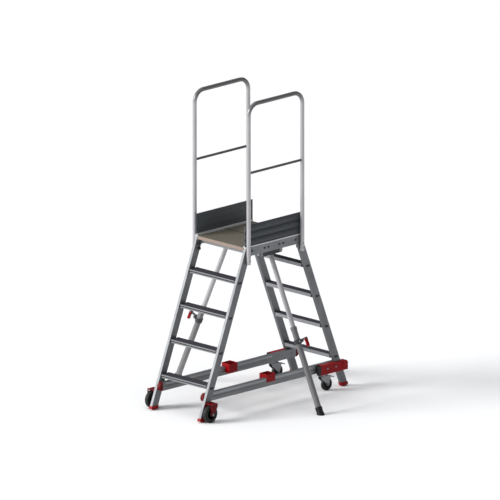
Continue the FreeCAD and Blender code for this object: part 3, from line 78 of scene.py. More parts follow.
class Finish:
    """A procedural material: a Principled shader with noise, ramps and bump before it."""

    def __init__(self, name, rough, metallic=0.0, **fixed):
        self.material = bpy.data.materials.new(name)
        self.material.use_nodes = True
        self.tree = self.material.node_tree
        self.shader = self.tree.nodes["Principled BSDF"]
        self.shader.inputs["Metallic"].default_value = metallic
        self.shader.inputs["Roughness"].default_value = rough
        for socket, value in fixed.items():
            self.shader.inputs[socket.replace("_", " ")].default_value = value
        self.coords = self.add("ShaderNodeTexCoord")

    def add(self, kind, **inputs):
        node = self.tree.nodes.new(kind)
        for socket, value in inputs.items():
            self.give(node.inputs[socket.replace("_", " ")], value)
        return node

    def give(self, socket, value):
        if isinstance(value, bpy.types.NodeSocket):
            self.tree.links.new(value, socket)
        else:
            socket.default_value = value

    def place(self, turn=None, stretch=(1, 1, 1)):
        """Object coordinates, turned about one axis and then stretched."""
        vector = self.coords.outputs["Object"]
        if turn:
            axis, angle = turn
            spin = self.add("ShaderNodeVectorRotate", Vector=vector, Angle=angle)
            spin.rotation_type = axis + "_AXIS"
            vector = spin.outputs["Vector"]
        scaled = self.add("ShaderNodeMapping", Vector=vector, Scale=stretch)
        return scaled.outputs["Vector"]

    def noise(self, vector, scale, detail=3.0, rough=0.55):
        node = self.add("ShaderNodeTexNoise", Vector=vector, Scale=scale, Detail=detail,
                        Roughness=rough)
        return node.outputs["Fac"]

    def cells(self, vector, scale, loose=1.0):
        node = self.add("ShaderNodeTexVoronoi", Vector=vector, Scale=scale, Randomness=loose)
        return node.outputs["Distance"]

    def remap(self, value, low, high, to_low=0.0, to_high=1.0):
        node = self.add("ShaderNodeMapRange", Value=value, From_Min=low, From_Max=high,
                        To_Min=to_low, To_Max=to_high)
        return node.outputs["Result"]

    def sum(self, kind, one, other):
        node = self.add("ShaderNodeMath")
        node.operation = kind
        self.give(node.inputs[0], one)
        self.give(node.inputs[1], other)
        return node.outputs["Value"]

    def mix(self, share, one, other):
        node = self.add("ShaderNodeMix")
        node.data_type = "RGBA"
        self.give(node.inputs[0], share)
        for index, value in ((6, one), (7, other)):
            self.give(node.inputs[index], value if hasattr(value, "links") else (*value, 1))
        return node.outputs[2]

    def bump(self, height, distance, strength=1.0, before=None):
        node = self.add("ShaderNodeBump", Height=height, Distance=distance, Strength=strength)
        if before is not None:
            self.give(node.inputs["Normal"], before)
        return node.outputs["Normal"]

    def wire(self, colour=None, rough=None, normal=None):
        for name, value in (("Base Color", colour), ("Roughness", rough), ("Normal", normal)):
            if value is not None:
                self.give(self.shader.inputs[name], value)
        return self.material


def tint(colour, factor):
    return tuple(min(1.0, c * factor) for c in colour)


ALONG = {"x": (1, 70, 70), "y": (70, 1, 70), "z": (70, 70, 1)}


def metal(name, colour, rough, along="z", turn=None, metallic=0.6, shine=1.0, painted_dark_above=None):
    """Drawn metal: fine lines along the profile, dull patches, handling marks, and, when a height range is given,
    a painted dark reflection on the upper part.
    """
    f = Finish(name, rough, metallic)
    lines = f.noise(f.place(turn, ALONG[along]), 22, 4, 0.7)
    patches = f.noise(f.place(), 7, 4)
    marks = f.noise(f.place(turn, tuple(0.2 * s + 0.8 for s in ALONG[along])), 60, 6, 0.75)
    scuffs = f.remap(marks, 0.62, 0.72)
    toned = f.mix(f.remap(lines, 0.3, 0.7), tint(colour, 0.88), tint(colour, 1.1))
    toned = f.mix(f.remap(patches, 0.35, 0.7, 0.0, 0.35), toned, tint(colour, 0.78))
    toned = f.mix(f.sum("MULTIPLY", scuffs, 0.35), toned, tint(colour, 1.45))
    # Painted reflection: above the given height the colour darkens to 0.3 of the tone, standing in for dark
    # surroundings mirrored in a handrail.
    if painted_dark_above:
        height = f.add("ShaderNodeSeparateXYZ", Vector=f.place()).outputs["Z"]
        painted_dark_reflection = f.remap(f.sum("ADD", height, f.sum("MULTIPLY", patches, 0.02)), *painted_dark_above)
        toned = f.mix(painted_dark_reflection, toned, tint(colour, 0.3))
    gloss = f.sum("ADD", f.remap(lines, 0.2, 0.8, rough - 0.07 * shine, rough + 0.07),
                  f.remap(patches, 0.3, 0.7, -0.04, 0.08))
    f.wire(toned, gloss, f.bump(lines, 0.00012, 0.55, f.bump(marks, 0.00008, 0.4)))
    return f.material


def cast(name, colour, rough, metallic=0.7):
    """Cast or plated metal: fine pebbling and stained recesses."""
    f = Finish(name, rough, metallic)
    grain = f.noise(f.place(), 520, 4, 0.6)
    stain = f.noise(f.place(), 38, 5, 0.65)
    toned = f.mix(f.remap(stain, 0.35, 0.7), tint(colour, 1.12), tint(colour, 0.68))
    gloss = f.remap(stain, 0.3, 0.7, rough - 0.08, rough + 0.14)
    f.wire(toned, gloss, f.bump(grain, 0.0003, 0.5))
    return f.material


def zinc(name, colour, rough):
    """Zinc plate: crystalline patches over bright steel."""
    f = Finish(name, rough, 0.85)
    spangle = f.cells(f.place(), 190)
    stain = f.noise(f.place(), 60, 4)
    toned = f.mix(f.remap(spangle, 0.0, 0.7), tint(colour, 1.15), tint(colour, 0.75))
    toned = f.mix(f.remap(stain, 0.5, 0.75, 0.0, 0.5), toned, tint(colour, 0.6))
    gloss = f.remap(spangle, 0.0, 0.8, rough - 0.08, rough + 0.12)
    f.wire(toned, gloss, f.bump(spangle, 0.0001, 0.4))
    return f.material


def plastic(name, colour, rough, grain=0.00012, worn=0.35, specular=0.35):
    """Moulded plastic: fine spark grain, flow mottling, pale scuffs."""
    f = Finish(name, rough, Specular_IOR_Level=specular)
    spark = f.cells(f.place(), 1100)
    flow = f.noise(f.place(), 16, 5, 0.6)
    rub = f.noise(f.place(stretch=(1, 1, 2.2)), 95, 7, 0.8)
    toned = f.mix(f.remap(flow, 0.3, 0.7), tint(colour, 0.86), tint(colour, 1.12))
    pale = tuple(c + 0.008 for c in tint(colour, 1.3))
    toned = f.mix(f.remap(rub, 0.64, 0.74, 0.0, worn), toned, pale)
    gloss = f.sum("ADD", f.remap(flow, 0.3, 0.7, rough - 0.06, rough + 0.06),
                  f.remap(rub, 0.6, 0.75, 0.0, 0.16))
    f.wire(toned, gloss, f.bump(spark, grain, 0.6, f.bump(flow, 0.0003, 0.3)))
    return f.material


def rubber(name, colour, rough, dusty=0.5):
    """Rubber: matt skin, dust in the pores, small nicks."""
    f = Finish(name, rough, Specular_IOR_Level=0.3)
    pores = f.cells(f.place(), 800)
    dust = f.noise(f.place(), 45, 6, 0.7)
    nicks = f.noise(f.place(), 240, 3, 0.8)
    toned = f.mix(f.remap(dust, 0.4, 0.75, 0.0, dusty), colour, tuple(c + 0.015 for c in colour))
    gloss = f.remap(dust, 0.35, 0.7, rough - 0.1, rough + 0.08)
    rise = f.bump(f.remap(nicks, 0.3, 0.42), 0.0002, 0.4)
    f.wire(toned, gloss, f.bump(pores, 0.00018, 0.5, rise))
    return f.material


def deck(name):
    """Film-faced plywood: wire-mesh grip on top, bare plies round the edges, smooth film below."""
    f = Finish(name, 0.55)
    facing = f.add("ShaderNodeSeparateXYZ", Vector=f.coords.outputs["Normal"]).outputs["Z"]
    place = f.place()
    weave = f.cells(f.place(("Z", math.radians(45))), 95, 0.0)
    print_through = f.noise(place, 9, 6, 0.65)
    grit = f.noise(place, 420, 3, 0.7)
    film = f.mix(f.remap(print_through, 0.3, 0.7), (0.135, 0.122, 0.09), (0.23, 0.21, 0.16))
    film = f.mix(f.remap(weave, 0.2, 0.55, 0.0, 0.85), film, (0.075, 0.066, 0.05))
    film = f.mix(f.remap(grit, 0.6, 0.75, 0.0, 0.4), film, (0.36, 0.33, 0.27))
    height = f.add("ShaderNodeSeparateXYZ", Vector=place).outputs["Z"]
    wander = f.noise(f.place(stretch=(1, 1, 3)), 14, 3)
    shifted = f.sum("ADD", height, f.sum("MULTIPLY", wander, 0.0012))
    phase = f.sum("MULTIPLY", shifted, 2 * math.pi / 0.0043)
    plies = f.sum("SINE", phase, 0.0)
    fibres = f.noise(f.place(stretch=(1, 1, 12)), 160, 5, 0.75)
    wood = f.mix(f.remap(plies, -0.45, 0.45), (0.17, 0.125, 0.1), (0.4, 0.31, 0.255))
    wood = f.mix(f.remap(fibres, 0.35, 0.7, 0.0, 0.45), wood, (0.24, 0.18, 0.145))
    is_top = f.remap(facing, 0.4, 0.6)
    is_under = f.remap(facing, -0.6, -0.4, 1.0, 0.0)
    colour = f.mix(is_top, wood, film)
    colour = f.mix(is_under, colour, (0.12, 0.085, 0.06))
    gloss = f.remap(f.sum("ADD", is_top, is_under), 0.0, 1.0, 0.78, 0.48)
    grip = f.sum("MULTIPLY", is_top, f.sum("ADD", weave, f.sum("MULTIPLY", grit, 0.35)))
    rough_edge = f.sum("MULTIPLY", f.remap(f.sum("ADD", is_top, is_under), 0.0, 1.0, 1.0, 0.0),
                       f.sum("ADD", f.sum("MULTIPLY", plies, 0.4), fibres))
    f.wire(colour, gloss, f.bump(f.sum("ADD", grip, rough_edge), 0.0007, 0.8))
    return f.material


def coated(name, inner, outer, side):
    """Powder coat on a rolled profile: orange peel, rub lines, dust, and painted shade: the outer face is darker
    than the paler inner face.
    """
    f = Finish(name, 0.5, Specular_IOR_Level=0.3, Coat_Weight=0.08, Coat_Roughness=0.4)
    facing = f.add("ShaderNodeSeparateXYZ", Vector=f.coords.outputs["Normal"]).outputs["X"]
    # Painted shade: one coat given a darker colour on the outer face and a paler one on the inner face.
    colour = f.mix(f.remap(facing, -side * 0.3, side * 0.3), inner, outer)
    peel = f.noise(f.place(), 330, 2)
    lines = f.noise(f.place(stretch=(40, 1, 40)), 12, 5, 0.7)
    dust = f.noise(f.place(), 11, 6, 0.65)
    toned = f.mix(f.remap(lines, 0.3, 0.7, 0.0, 0.3), colour, tint(inner, 1.35))
    toned = f.mix(f.remap(dust, 0.5, 0.78, 0.0, 0.35), toned, tuple(c + 0.02 for c in inner))
    gloss = f.remap(dust, 0.3, 0.7, 0.42, 0.6)
    f.wire(toned, gloss, f.bump(peel, 0.0003, 0.35, f.bump(lines, 0.0001, 0.4)))
    return f.material


def grit_cover(name, colour):
    """Anti-slip cover: hard grit along the ribs with a faint glitter and worn rib tops."""
    f = Finish(name, 0.72, Specular_IOR_Level=0.4)
    grit = f.cells(f.place(), 900)
    wear = f.noise(f.place(stretch=(0.6, 3, 1)), 24, 5, 0.7)
    toned = f.mix(f.remap(grit, 0.05, 0.5), tuple(c + 0.015 for c in colour), colour)
    toned = f.mix(f.remap(wear, 0.55, 0.75, 0.0, 0.5), toned, tuple(c * 2.2 for c in colour))
    gloss = f.remap(grit, 0.0, 0.5, 0.45, 0.85)
    f.wire(toned, gloss, f.bump(grit, 0.0005, 0.8))
    return f.material


ALU = (0.165, 0.17, 0.177)
TUBE = (0.46, 0.45, 0.46)
REAR_TURN = ("X", -LEAN)
FRONT_TURN = ("X", LEAN)
# Painted light: one aluminium in three brightnesses by the way a part runs; parts across X get 1.7 times and
# lengthwise parts 1.25 times the stiles' colour, lit and shaded copies of the same metal.
alu = {
    "x": metal("aluminium_across", tint(ALU, 1.7), 0.42, "x"),
    "y": metal("aluminium_lengthwise", tint(ALU, 1.25), 0.42, "y"),
    "front": metal("aluminium_front_stile", ALU, 0.42, "z", FRONT_TURN),
    "rear": metal("aluminium_rear_stile", ALU, 0.42, "z", REAR_TURN),
}
# Painted shade: the lower leg tubes get half the tube colour and the upper ones about the full colour, a shaded
# and a lit copy of one metal.
for side_name, side in SIDES:
    for tube_name, paleness in (("upper", 1.05), ("lower", 0.5)):
        alu[f"{tube_name}_{side_name}"] = metal(f"aluminium_{tube_name}_leg_{side_name}",
                                                tint(TUBE, paleness), 0.3, "z",
                                                ("Y", -side * SPLAY), 0.4)
HANDRAIL_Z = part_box("guardrail_right")[1].z
bright = {
    # The handrail gets a painted dark reflection from HANDRAIL_Z - 0.1 upwards.
    "post": metal("guardrail_tube", TUBE, 0.3, "z", None, 0.3, 0.6,
                  (HANDRAIL_Z - 0.1, HANDRAIL_Z - 0.02)),
    # Painted shade: the mid rails are the guardrail tube at a quarter of its brightness, a shaded copy of the same
    # metal.
    "mid_rail": metal("mid_rail_tube", tint(TUBE, 0.25), 0.35, "y", None, 0.6, 0.6),
    # Painted highlight: the channel gets a near-white colour so that its face turned from the key light still
    # reads as a bright line.
    "channel": metal("bright_channel", (0.8, 0.8, 0.8), 0.4, "y", None, 0.15, 0.6),
    # Painted highlight: the bars' top strips are a brighter copy of the lengthwise aluminium.
    "strip": metal("bright_strip", tint(ALU, 1.9), 0.38, "y", None, 0.5),
}
finish = {
    "cast_aluminium": cast("cast_aluminium", (0.2, 0.205, 0.21), 0.42),
    "dark_casting": cast("dark_casting", (0.075, 0.078, 0.082), 0.4),
    "zinc_steel": zinc("zinc_steel", (0.3, 0.31, 0.32), 0.36),
    "dark_steel": zinc("dark_steel", (0.055, 0.058, 0.062), 0.4),
    "deck_board": deck("film_faced_plywood"),
    "toe_board_left": coated("anthracite_left", (0.075, 0.084, 0.09), (0.034, 0.038, 0.045), -1),
    "toe_board_right": coated("anthracite_right", (0.075, 0.084, 0.09), (0.034, 0.038, 0.045), 1),
    "tread_cover": grit_cover("anti_slip_cover", (0.02, 0.018, 0.0265)),
    "red_plastic": plastic("red_plastic", (0.27, 0.0006, 0.0025), 0.42, worn=0.3, specular=0.16),
    "dark_red_plastic": plastic("dark_red_plastic", (0.12, 0.001, 0.003), 0.44, worn=0.3,
                                specular=0.16),
    "black_plastic": plastic("black_plastic", (0.01, 0.01, 0.011), 0.42, worn=0.3),
    "grey_plastic": plastic("grey_plastic", (0.016, 0.017, 0.018), 0.45, worn=0.3),
    "tyre": rubber("solid_tyre", (0.008, 0.0085, 0.009), 0.62, 0.3),
    "black_rubber": rubber("black_rubber", (0.007, 0.007, 0.0075), 0.5, 0.3),
}


def dress(obj, material):
    """Give a piece its one material."""
    obj.data.materials.clear()
    obj.data.materials.append(material)
    for polygon in obj.data.polygons:
        polygon.material_index = 0


def alu_for(name):
    if "stile" in name:
        return alu["front" if name.startswith("front") else "rear"]
    if name.startswith("stabiliser"):
        return alu[name.removeprefix("stabiliser_")]
    return alu["y" if name.startswith(("base_bar", "side_rail", "toe_board")) else "x"]


for name, obj in nodes.items():
    slot = SLOT_OF[name]
    if name == "toe_board_channels":
        dress(obj, bright["channel"])
    elif slot == "aluminium":
        dress(obj, alu_for(name))
    elif slot == "guardrail_aluminium":
        dress(obj, bright["mid_rail" if name == "mid_rails" else "post"])
    elif name in finish:
        dress(obj, finish[name])
    elif name.startswith("clamp_collar"):
        dress(obj, finish["dark_casting"])
    else:
        dress(obj, finish[slot])

# Edge radii in millimetres.
SOFTENED = {"stow_cups": 1.4, "rear_bracket_left": 1.6, "rear_bracket_right": 1.6,
            "wheel_brackets": 1.0, "foot_caps": 1.0, "clamp_lever_left": 1.2,
            "clamp_lever_right": 1.2, "deck_panel_front": 0.6, "deck_panel_rear": 0.6,
            "base_bar_left": 0.7, "base_bar_right": 0.7, "side_rail_left": 0.6,
            "side_rail_right": 0.6, "brake_pedal_left": 0.7, "brake_pedal_right": 0.7,
            "clamp_collar_left": 0.6, "clamp_collar_right": 0.6, "toe_board_channels": 0.3}
WELD_GAP = 0.00001
SHARPER_THAN = math.radians(40)
for name, width in SOFTENED.items():
    weld = nodes[name].modifiers.new("weld", "WELD")
    weld.merge_threshold = WELD_GAP
    bevel = nodes[name].modifiers.new("bevel", "BEVEL")
    bevel.width = width * MM
    bevel.segments = 2
    bevel.limit_method = "ANGLE"
    bevel.angle_limit = SHARPER_THAN
    bevel.harden_normals = False


# ---------------------------------------------------------------- mesh tools

def islands(name):
    """Boxes of a CAD node's separate solids, lowest corner and highest corner, in order."""
    mesh = nodes[name].data
    parent = {}

    def find(key):
        while parent[key] != key:
            parent[key] = parent[parent[key]]
            key = parent[key]
        return key

    keys = [tuple(round(c, 5) for c in v.co) for v in mesh.vertices]
    for key in keys:
        parent.setdefault(key, key)
    for edge in mesh.edges:
        one, other = find(keys[edge.vertices[0]]), find(keys[edge.vertices[1]])
        if one != other:
            parent[one] = other
    groups = {}
    for key in set(keys):
        groups.setdefault(find(key), []).append(key)
    boxes = []
    for points in groups.values():
        low = Vector(min(p[i] for p in points) for i in range(3))
        high = Vector(max(p[i] for p in points) for i in range(3))
        boxes.append((low, high))
    return sorted(boxes, key=lambda b: tuple(b[0]))


def merged_boxes(boxes):
    """Boxes joined where they overlap, so that a solid of several shells counts once."""
    done, near = [], 1e-5
    for low, high in boxes:
        for other in done:
            if all(low[i] <= other[1][i] + near and high[i] >= other[0][i] - near
                   for i in range(3)):
                for i in range(3):
                    other[0][i], other[1][i] = min(low[i], other[0][i]), max(high[i], other[1][i])
                break
        else:
            done.append([low.copy(), high.copy()])
    return done


def turned(bm, profile, centre, axis, sides=32, ripple=None):
    """Add a closed solid of revolution: profile is (distance along the axis, radius) pairs."""
    frame_of = axis.to_track_quat("Z", "Y").to_matrix()
    rings = []
    for along, radius in profile:
        ring = []
        for k in range(sides):
            angle = 2 * math.pi * k / sides
            r = radius * (ripple(angle) if ripple else 1.0)
            spot = Vector((r * math.cos(angle), r * math.sin(angle), along))
            ring.append(bm.verts.new(centre + frame_of @ spot))
        rings.append(ring)
    for one, other in zip(rings, rings[1:]):
        for k in range(sides):
            bm.faces.new((one[k], one[(k + 1) % sides], other[(k + 1) % sides], other[k]))
    bm.faces.new(tuple(reversed(rings[0])))
    bm.faces.new(tuple(rings[-1]))


def mm(*pairs):
    """Profile points given in millimetres, as metres."""
    return [(along * MM, radius * MM) for along, radius in pairs]


def at_share(radius, *pairs):
    """Profile points whose radius is a share of another radius; the distance is in metres."""
    return [(along, radius * share) for along, share in pairs]


def extruded(bm, outline, start, along):
    """Add a prism: outline points are vectors in the frame, pushed by the vector along."""
    base = [bm.verts.new(start + p) for p in outline]
    top = [bm.verts.new(start + p + along) for p in outline]
    count = len(base)
    for k in range(count):
        bm.faces.new((base[k], base[(k + 1) % count], top[(k + 1) % count], top[k]))
    bm.faces.new(tuple(reversed(base)))
    bm.faces.new(tuple(top))


def finished(bm, name, body, slot, material=None, smooth=40, soften=0.0, replaces=()):
    """Turn a bmesh into a piece that rides on a body."""
    bmesh.ops.recalc_face_normals(bm, faces=bm.faces)
    mesh = bpy.data.meshes.new(name)
    bm.to_mesh(mesh)
    bm.free()
    obj = bpy.data.objects.new(name, mesh)
    bpy.context.scene.collection.objects.link(obj)
    mesh.shade_smooth()
    mesh.set_sharp_from_angle(angle=math.radians(smooth))
    if soften:
        bevel = obj.modifiers.new("bevel", "BEVEL")
        bevel.width = soften
        bevel.segments = 2
        bevel.limit_method = "ANGLE"
        bevel.angle_limit = math.radians(45)
    dress(obj, material or finish[slot])
    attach(obj, body)
    if replaces:
        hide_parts(*replaces)
    return obj


X, Y, Z = Vector((1, 0, 0)), Vector((0, 1, 0)), Vector((0, 0, 1))

# ---------------------------------------------------------------- guardrail knobs and plugs

LOBES, LOBE_DEEP, STUD_R = 6, 0.07, 4 * MM
grips, studs = bmesh.new(), bmesh.new()
for low, high in merged_boxes(islands("guardrail_knobs")):
    side = 1 if (low.x + high.x) > 0 else -1
    inner_x = low.x if side > 0 else high.x
    outer_x = high.x if side > 0 else low.x
    out = X * side
    centre = Vector((inner_x, (low.y + high.y) / 2, (low.z + high.z) / 2))
    radius = (high.z - low.z) / 2
    hub = at_share(radius, (0, 0.3), (0.4 * MM, 0.48), (3 * MM, 0.56), (3.4 * MM, 0.56))
    turned(grips, hub, centre, out)
    lobed = at_share(radius, (3 * MM, 0.5), (3.6 * MM, 0.82), (6 * MM, 0.97), (9 * MM, 1.0),
                     (14 * MM, 0.97), (16 * MM, 0.86), (17.8 * MM, 0.6))
    turned(grips, lobed, centre, out, 60,
           lambda a: 1 - LOBE_DEEP + LOBE_DEEP * math.cos(LOBES * a))
    reach = abs(outer_x - inner_x)
    turned(studs, [(17 * MM, STUD_R), (reach - 3.5 * MM, STUD_R)], centre, out, 20)
    turned(studs, [(reach - 3.9 * MM, 6.9 * MM), (reach - 3.2 * MM, 6.9 * MM),
                   (reach - 1.6 * MM, 5.8 * MM), (reach - 0.3 * MM, 3.2 * MM)], centre, out, 24)
finished(grips, "guardrail_hand_knobs", "frame", "black_plastic", smooth=35,
         replaces=("guardrail_knobs",))
finished(studs, "guardrail_knob_studs", "frame", "zinc_steel")

plugs = bmesh.new()
for side_name, side in SIDES:
    low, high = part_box(f"guardrail_{side_name}")
    middle_x, tube = (low.x + high.x) / 2, (high.x - low.x) / 2
    for y in (low.y + tube, high.y - tube):
        foot = Vector((middle_x, y, low.z))
        domed = at_share(tube, (-1.8 * MM, 0.55), (-1.5 * MM, 0.8), (-0.9 * MM, 0.96),
                         (-0.1 * MM, 1.02), (0.9 * MM, 1.02))
        turned(plugs, domed, foot, Z, 40)
finished(plugs, "guardrail_end_plugs", "frame", "black_plastic")

# ---------------------------------------------------------------- deck and bars

seal = bmesh.new()
front_low, front_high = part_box("deck_panel_front")
rear_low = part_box("deck_panel_rear")[0]
SEAL_LIP, SEAL_CLEAR, SEAL_DEEP, SEAL_SHORT = 4.5 * MM, 0.3 * MM, 12 * MM, 1 * MM
stem = (rear_low.y - front_high.y) / 2 - SEAL_CLEAR
bottom, seat, crown = front_high.z - SEAL_DEEP, front_high.z + 0.1 * MM, front_high.z + 0.9 * MM
outline = [Vector((0, -stem, bottom)), Vector((0, stem, bottom)),
           Vector((0, stem, seat)), Vector((0, SEAL_LIP, seat)),
           Vector((0, SEAL_LIP - 1 * MM, crown)), Vector((0, 1 * MM - SEAL_LIP, crown)),
           Vector((0, -SEAL_LIP, seat)), Vector((0, -stem, seat))]
extruded(seal, outline, X * (front_low.x + SEAL_SHORT),
         X * (front_high.x - front_low.x - 2 * SEAL_SHORT))
finished(seal, "deck_split_seal", "frame", "black_rubber")

# Painted highlight: a thin strip near the top of each bar's side faces, coloured brighter than the bar, stands in
# for light catching the bar's upper part.
strips = bmesh.new()
STRIP_PROUD, STRIP_GAP = 0.19 * MM, 3 * MM
STRIP_LOW, STRIP_HIGH, STRIP_BEVEL = 22 * MM, 3 * MM, 0.4 * MM
for side_name, side in SIDES:
    low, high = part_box(f"base_bar_{side_name}")
    start_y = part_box("wheel_brackets")[1].y + STRIP_GAP
    end_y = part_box(f"rear_bracket_{side_name}")[0].y - STRIP_GAP
    for face_x, way in ((low.x, -1), (high.x, 1)):
        outline = [Vector((0, 0, high.z - STRIP_LOW)),
                   Vector((way * STRIP_PROUD, 0, high.z - STRIP_LOW + STRIP_BEVEL)),
                   Vector((way * STRIP_PROUD, 0, high.z - STRIP_HIGH - STRIP_BEVEL)),
                   Vector((0, 0, high.z - STRIP_HIGH))]
        extruded(strips, outline, X * face_x + Y * start_y, Y * (end_y - start_y))
finished(strips, "bar_top_strips", "frame", "aluminium", bright["strip"])

discs = bmesh.new()
LEAF_LONG, LEAF_REACH = 0.1, 0.05      # longer islands are leaves; a front leaf reaches further
DISC_AT, DISC_RISE = 0.87, 17 * MM
for low, high in islands("centre_hinges"):
    if high.y - low.y > LEAF_LONG:
        side = 1 if low.x > 0 else -1
        face_x = high.x if side > 0 else low.x
        y = (low.y if low.y < -LEAF_REACH else high.y) * DISC_AT
        spot = Vector((face_x, y, low.z + DISC_RISE))
        turned(discs, mm((0.1, 14.5), (1.5, 14.5), (2.2, 13.6)), spot, X * side, 40)
        turned(discs, mm((2.1, 6.6), (4.3, 6.6), (5, 5.6)), spot, X * side, 6)
finished(discs, "hinge_washers", "frame", "zinc_steel", smooth=25)

washers = bmesh.new()
BOLT_HEAD_HIGH = 4 * MM
for name in ("tread_bolts", "platform_bolts"):
    for low, high in islands(name):
        side = 1 if low.x + high.x > 0 else -1
        stile_face = (high.x if side > 0 else low.x) - side * BOLT_HEAD_HIGH
        spot = Vector((stile_face, (low.y + high.y) / 2, (low.z + high.z) / 2))
        turned(washers, mm((0.05, 8.7), (1.1, 8.7), (1.5, 8.2)), spot, X * side, 28)
finished(washers, "bolt_washers", "frame", "black_plastic", smooth=25)

# ---------------------------------------------------------------- treads

STEPS = range(1, 5)
collars = bmesh.new()
COLLAR_GROW, COLLAR_WIDE, COLLAR_IN = 0.7 * MM, 7 * MM, 0.1 * MM
for end_name in ("front", "rear"):
    for step in STEPS:
        low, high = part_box(f"{end_name}_tread_{step}")
        near_y, far_y = low.y - COLLAR_GROW, high.y + COLLAR_GROW
        under_z, over_z = low.z - COLLAR_GROW, high.z + COLLAR_GROW
        outline = [Vector((0, near_y, under_z)), Vector((0, far_y, under_z)),
                   Vector((0, far_y, over_z)), Vector((0, near_y, over_z))]
        for x, way in ((low.x + COLLAR_IN, 1), (high.x - COLLAR_IN, -1)):
            extruded(collars, outline, X * x, X * way * COLLAR_WIDE)
finished(collars, "tread_end_collars", "frame", "black_plastic", soften=0.5 * MM)

grips = bmesh.new()
NOSING_STRIP = ((3.4, 10.2), (1.2, 10.6), (0.6, 13), (1.2, 15.4), (3.4, 15.8))  # depth, height
STRIP_END = 8 * MM
for end_name, end in (("front", -1), ("rear", 1)):
    for step in STEPS:
        low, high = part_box(f"{end_name}_tread_{step}")
        face_y = low.y if end < 0 else high.y
        outline = [Vector((0, -end * deep * MM, height * MM)) for deep, height in NOSING_STRIP]
        start = Vector((low.x + STRIP_END, face_y, low.z))
        extruded(grips, outline, start, X * (high.x - low.x - 2 * STRIP_END))
finished(grips, "tread_nosing_strips", "frame", "black_rubber")

# ---------------------------------------------------------------- rear brackets

NOSE_CLEAR, BRACKET_LIP = 0.6 * MM, 3 * MM
NOSE_LAYERS, NOSE_RIB, NOSE_GROOVE, NOSE_TAIL, NOSE_PROUD = 7, 0.8 * MM, 0.4 * MM, 2 * MM, 0.2 * MM
for side_name, side in SIDES:
    low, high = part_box(f"rear_bracket_{side_name}")
    bar_low, bar_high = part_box(f"base_bar_{side_name}")
    inner_x = (bar_high.x if side > 0 else bar_low.x) + side * NOSE_CLEAR
    outer_x = (high.x if side > 0 else low.x) - side * BRACKET_LIP
    radius = abs(outer_x - inner_x) / 2
    centre_x = (outer_x + inner_x) / 2
    nose = bmesh.new()
    count = 22
    layer = (high.z - low.z) / NOSE_LAYERS
    for level in range(NOSE_LAYERS):
        rib = NOSE_RIB if level % 2 else 0.0
        outline = []
        for k in range(count + 1):
            angle = math.pi + math.pi * k / count
            outline.append(Vector(((radius + rib) * math.cos(angle),
                                   (radius + rib) * math.sin(angle), 0)))
        outline += [Vector((radius, NOSE_TAIL, 0)), Vector((-radius, NOSE_TAIL, 0))]
        start = Vector((centre_x, low.y + radius - NOSE_PROUD,
                        low.z + NOSE_GROOVE + level * layer))
        extruded(nose, outline, start, Z * (layer - NOSE_GROOVE))
    finished(nose, f"bracket_nose_{side_name}", "frame", "grey_plastic", soften=0.4 * MM)

# ---------------------------------------------------------------- wheels

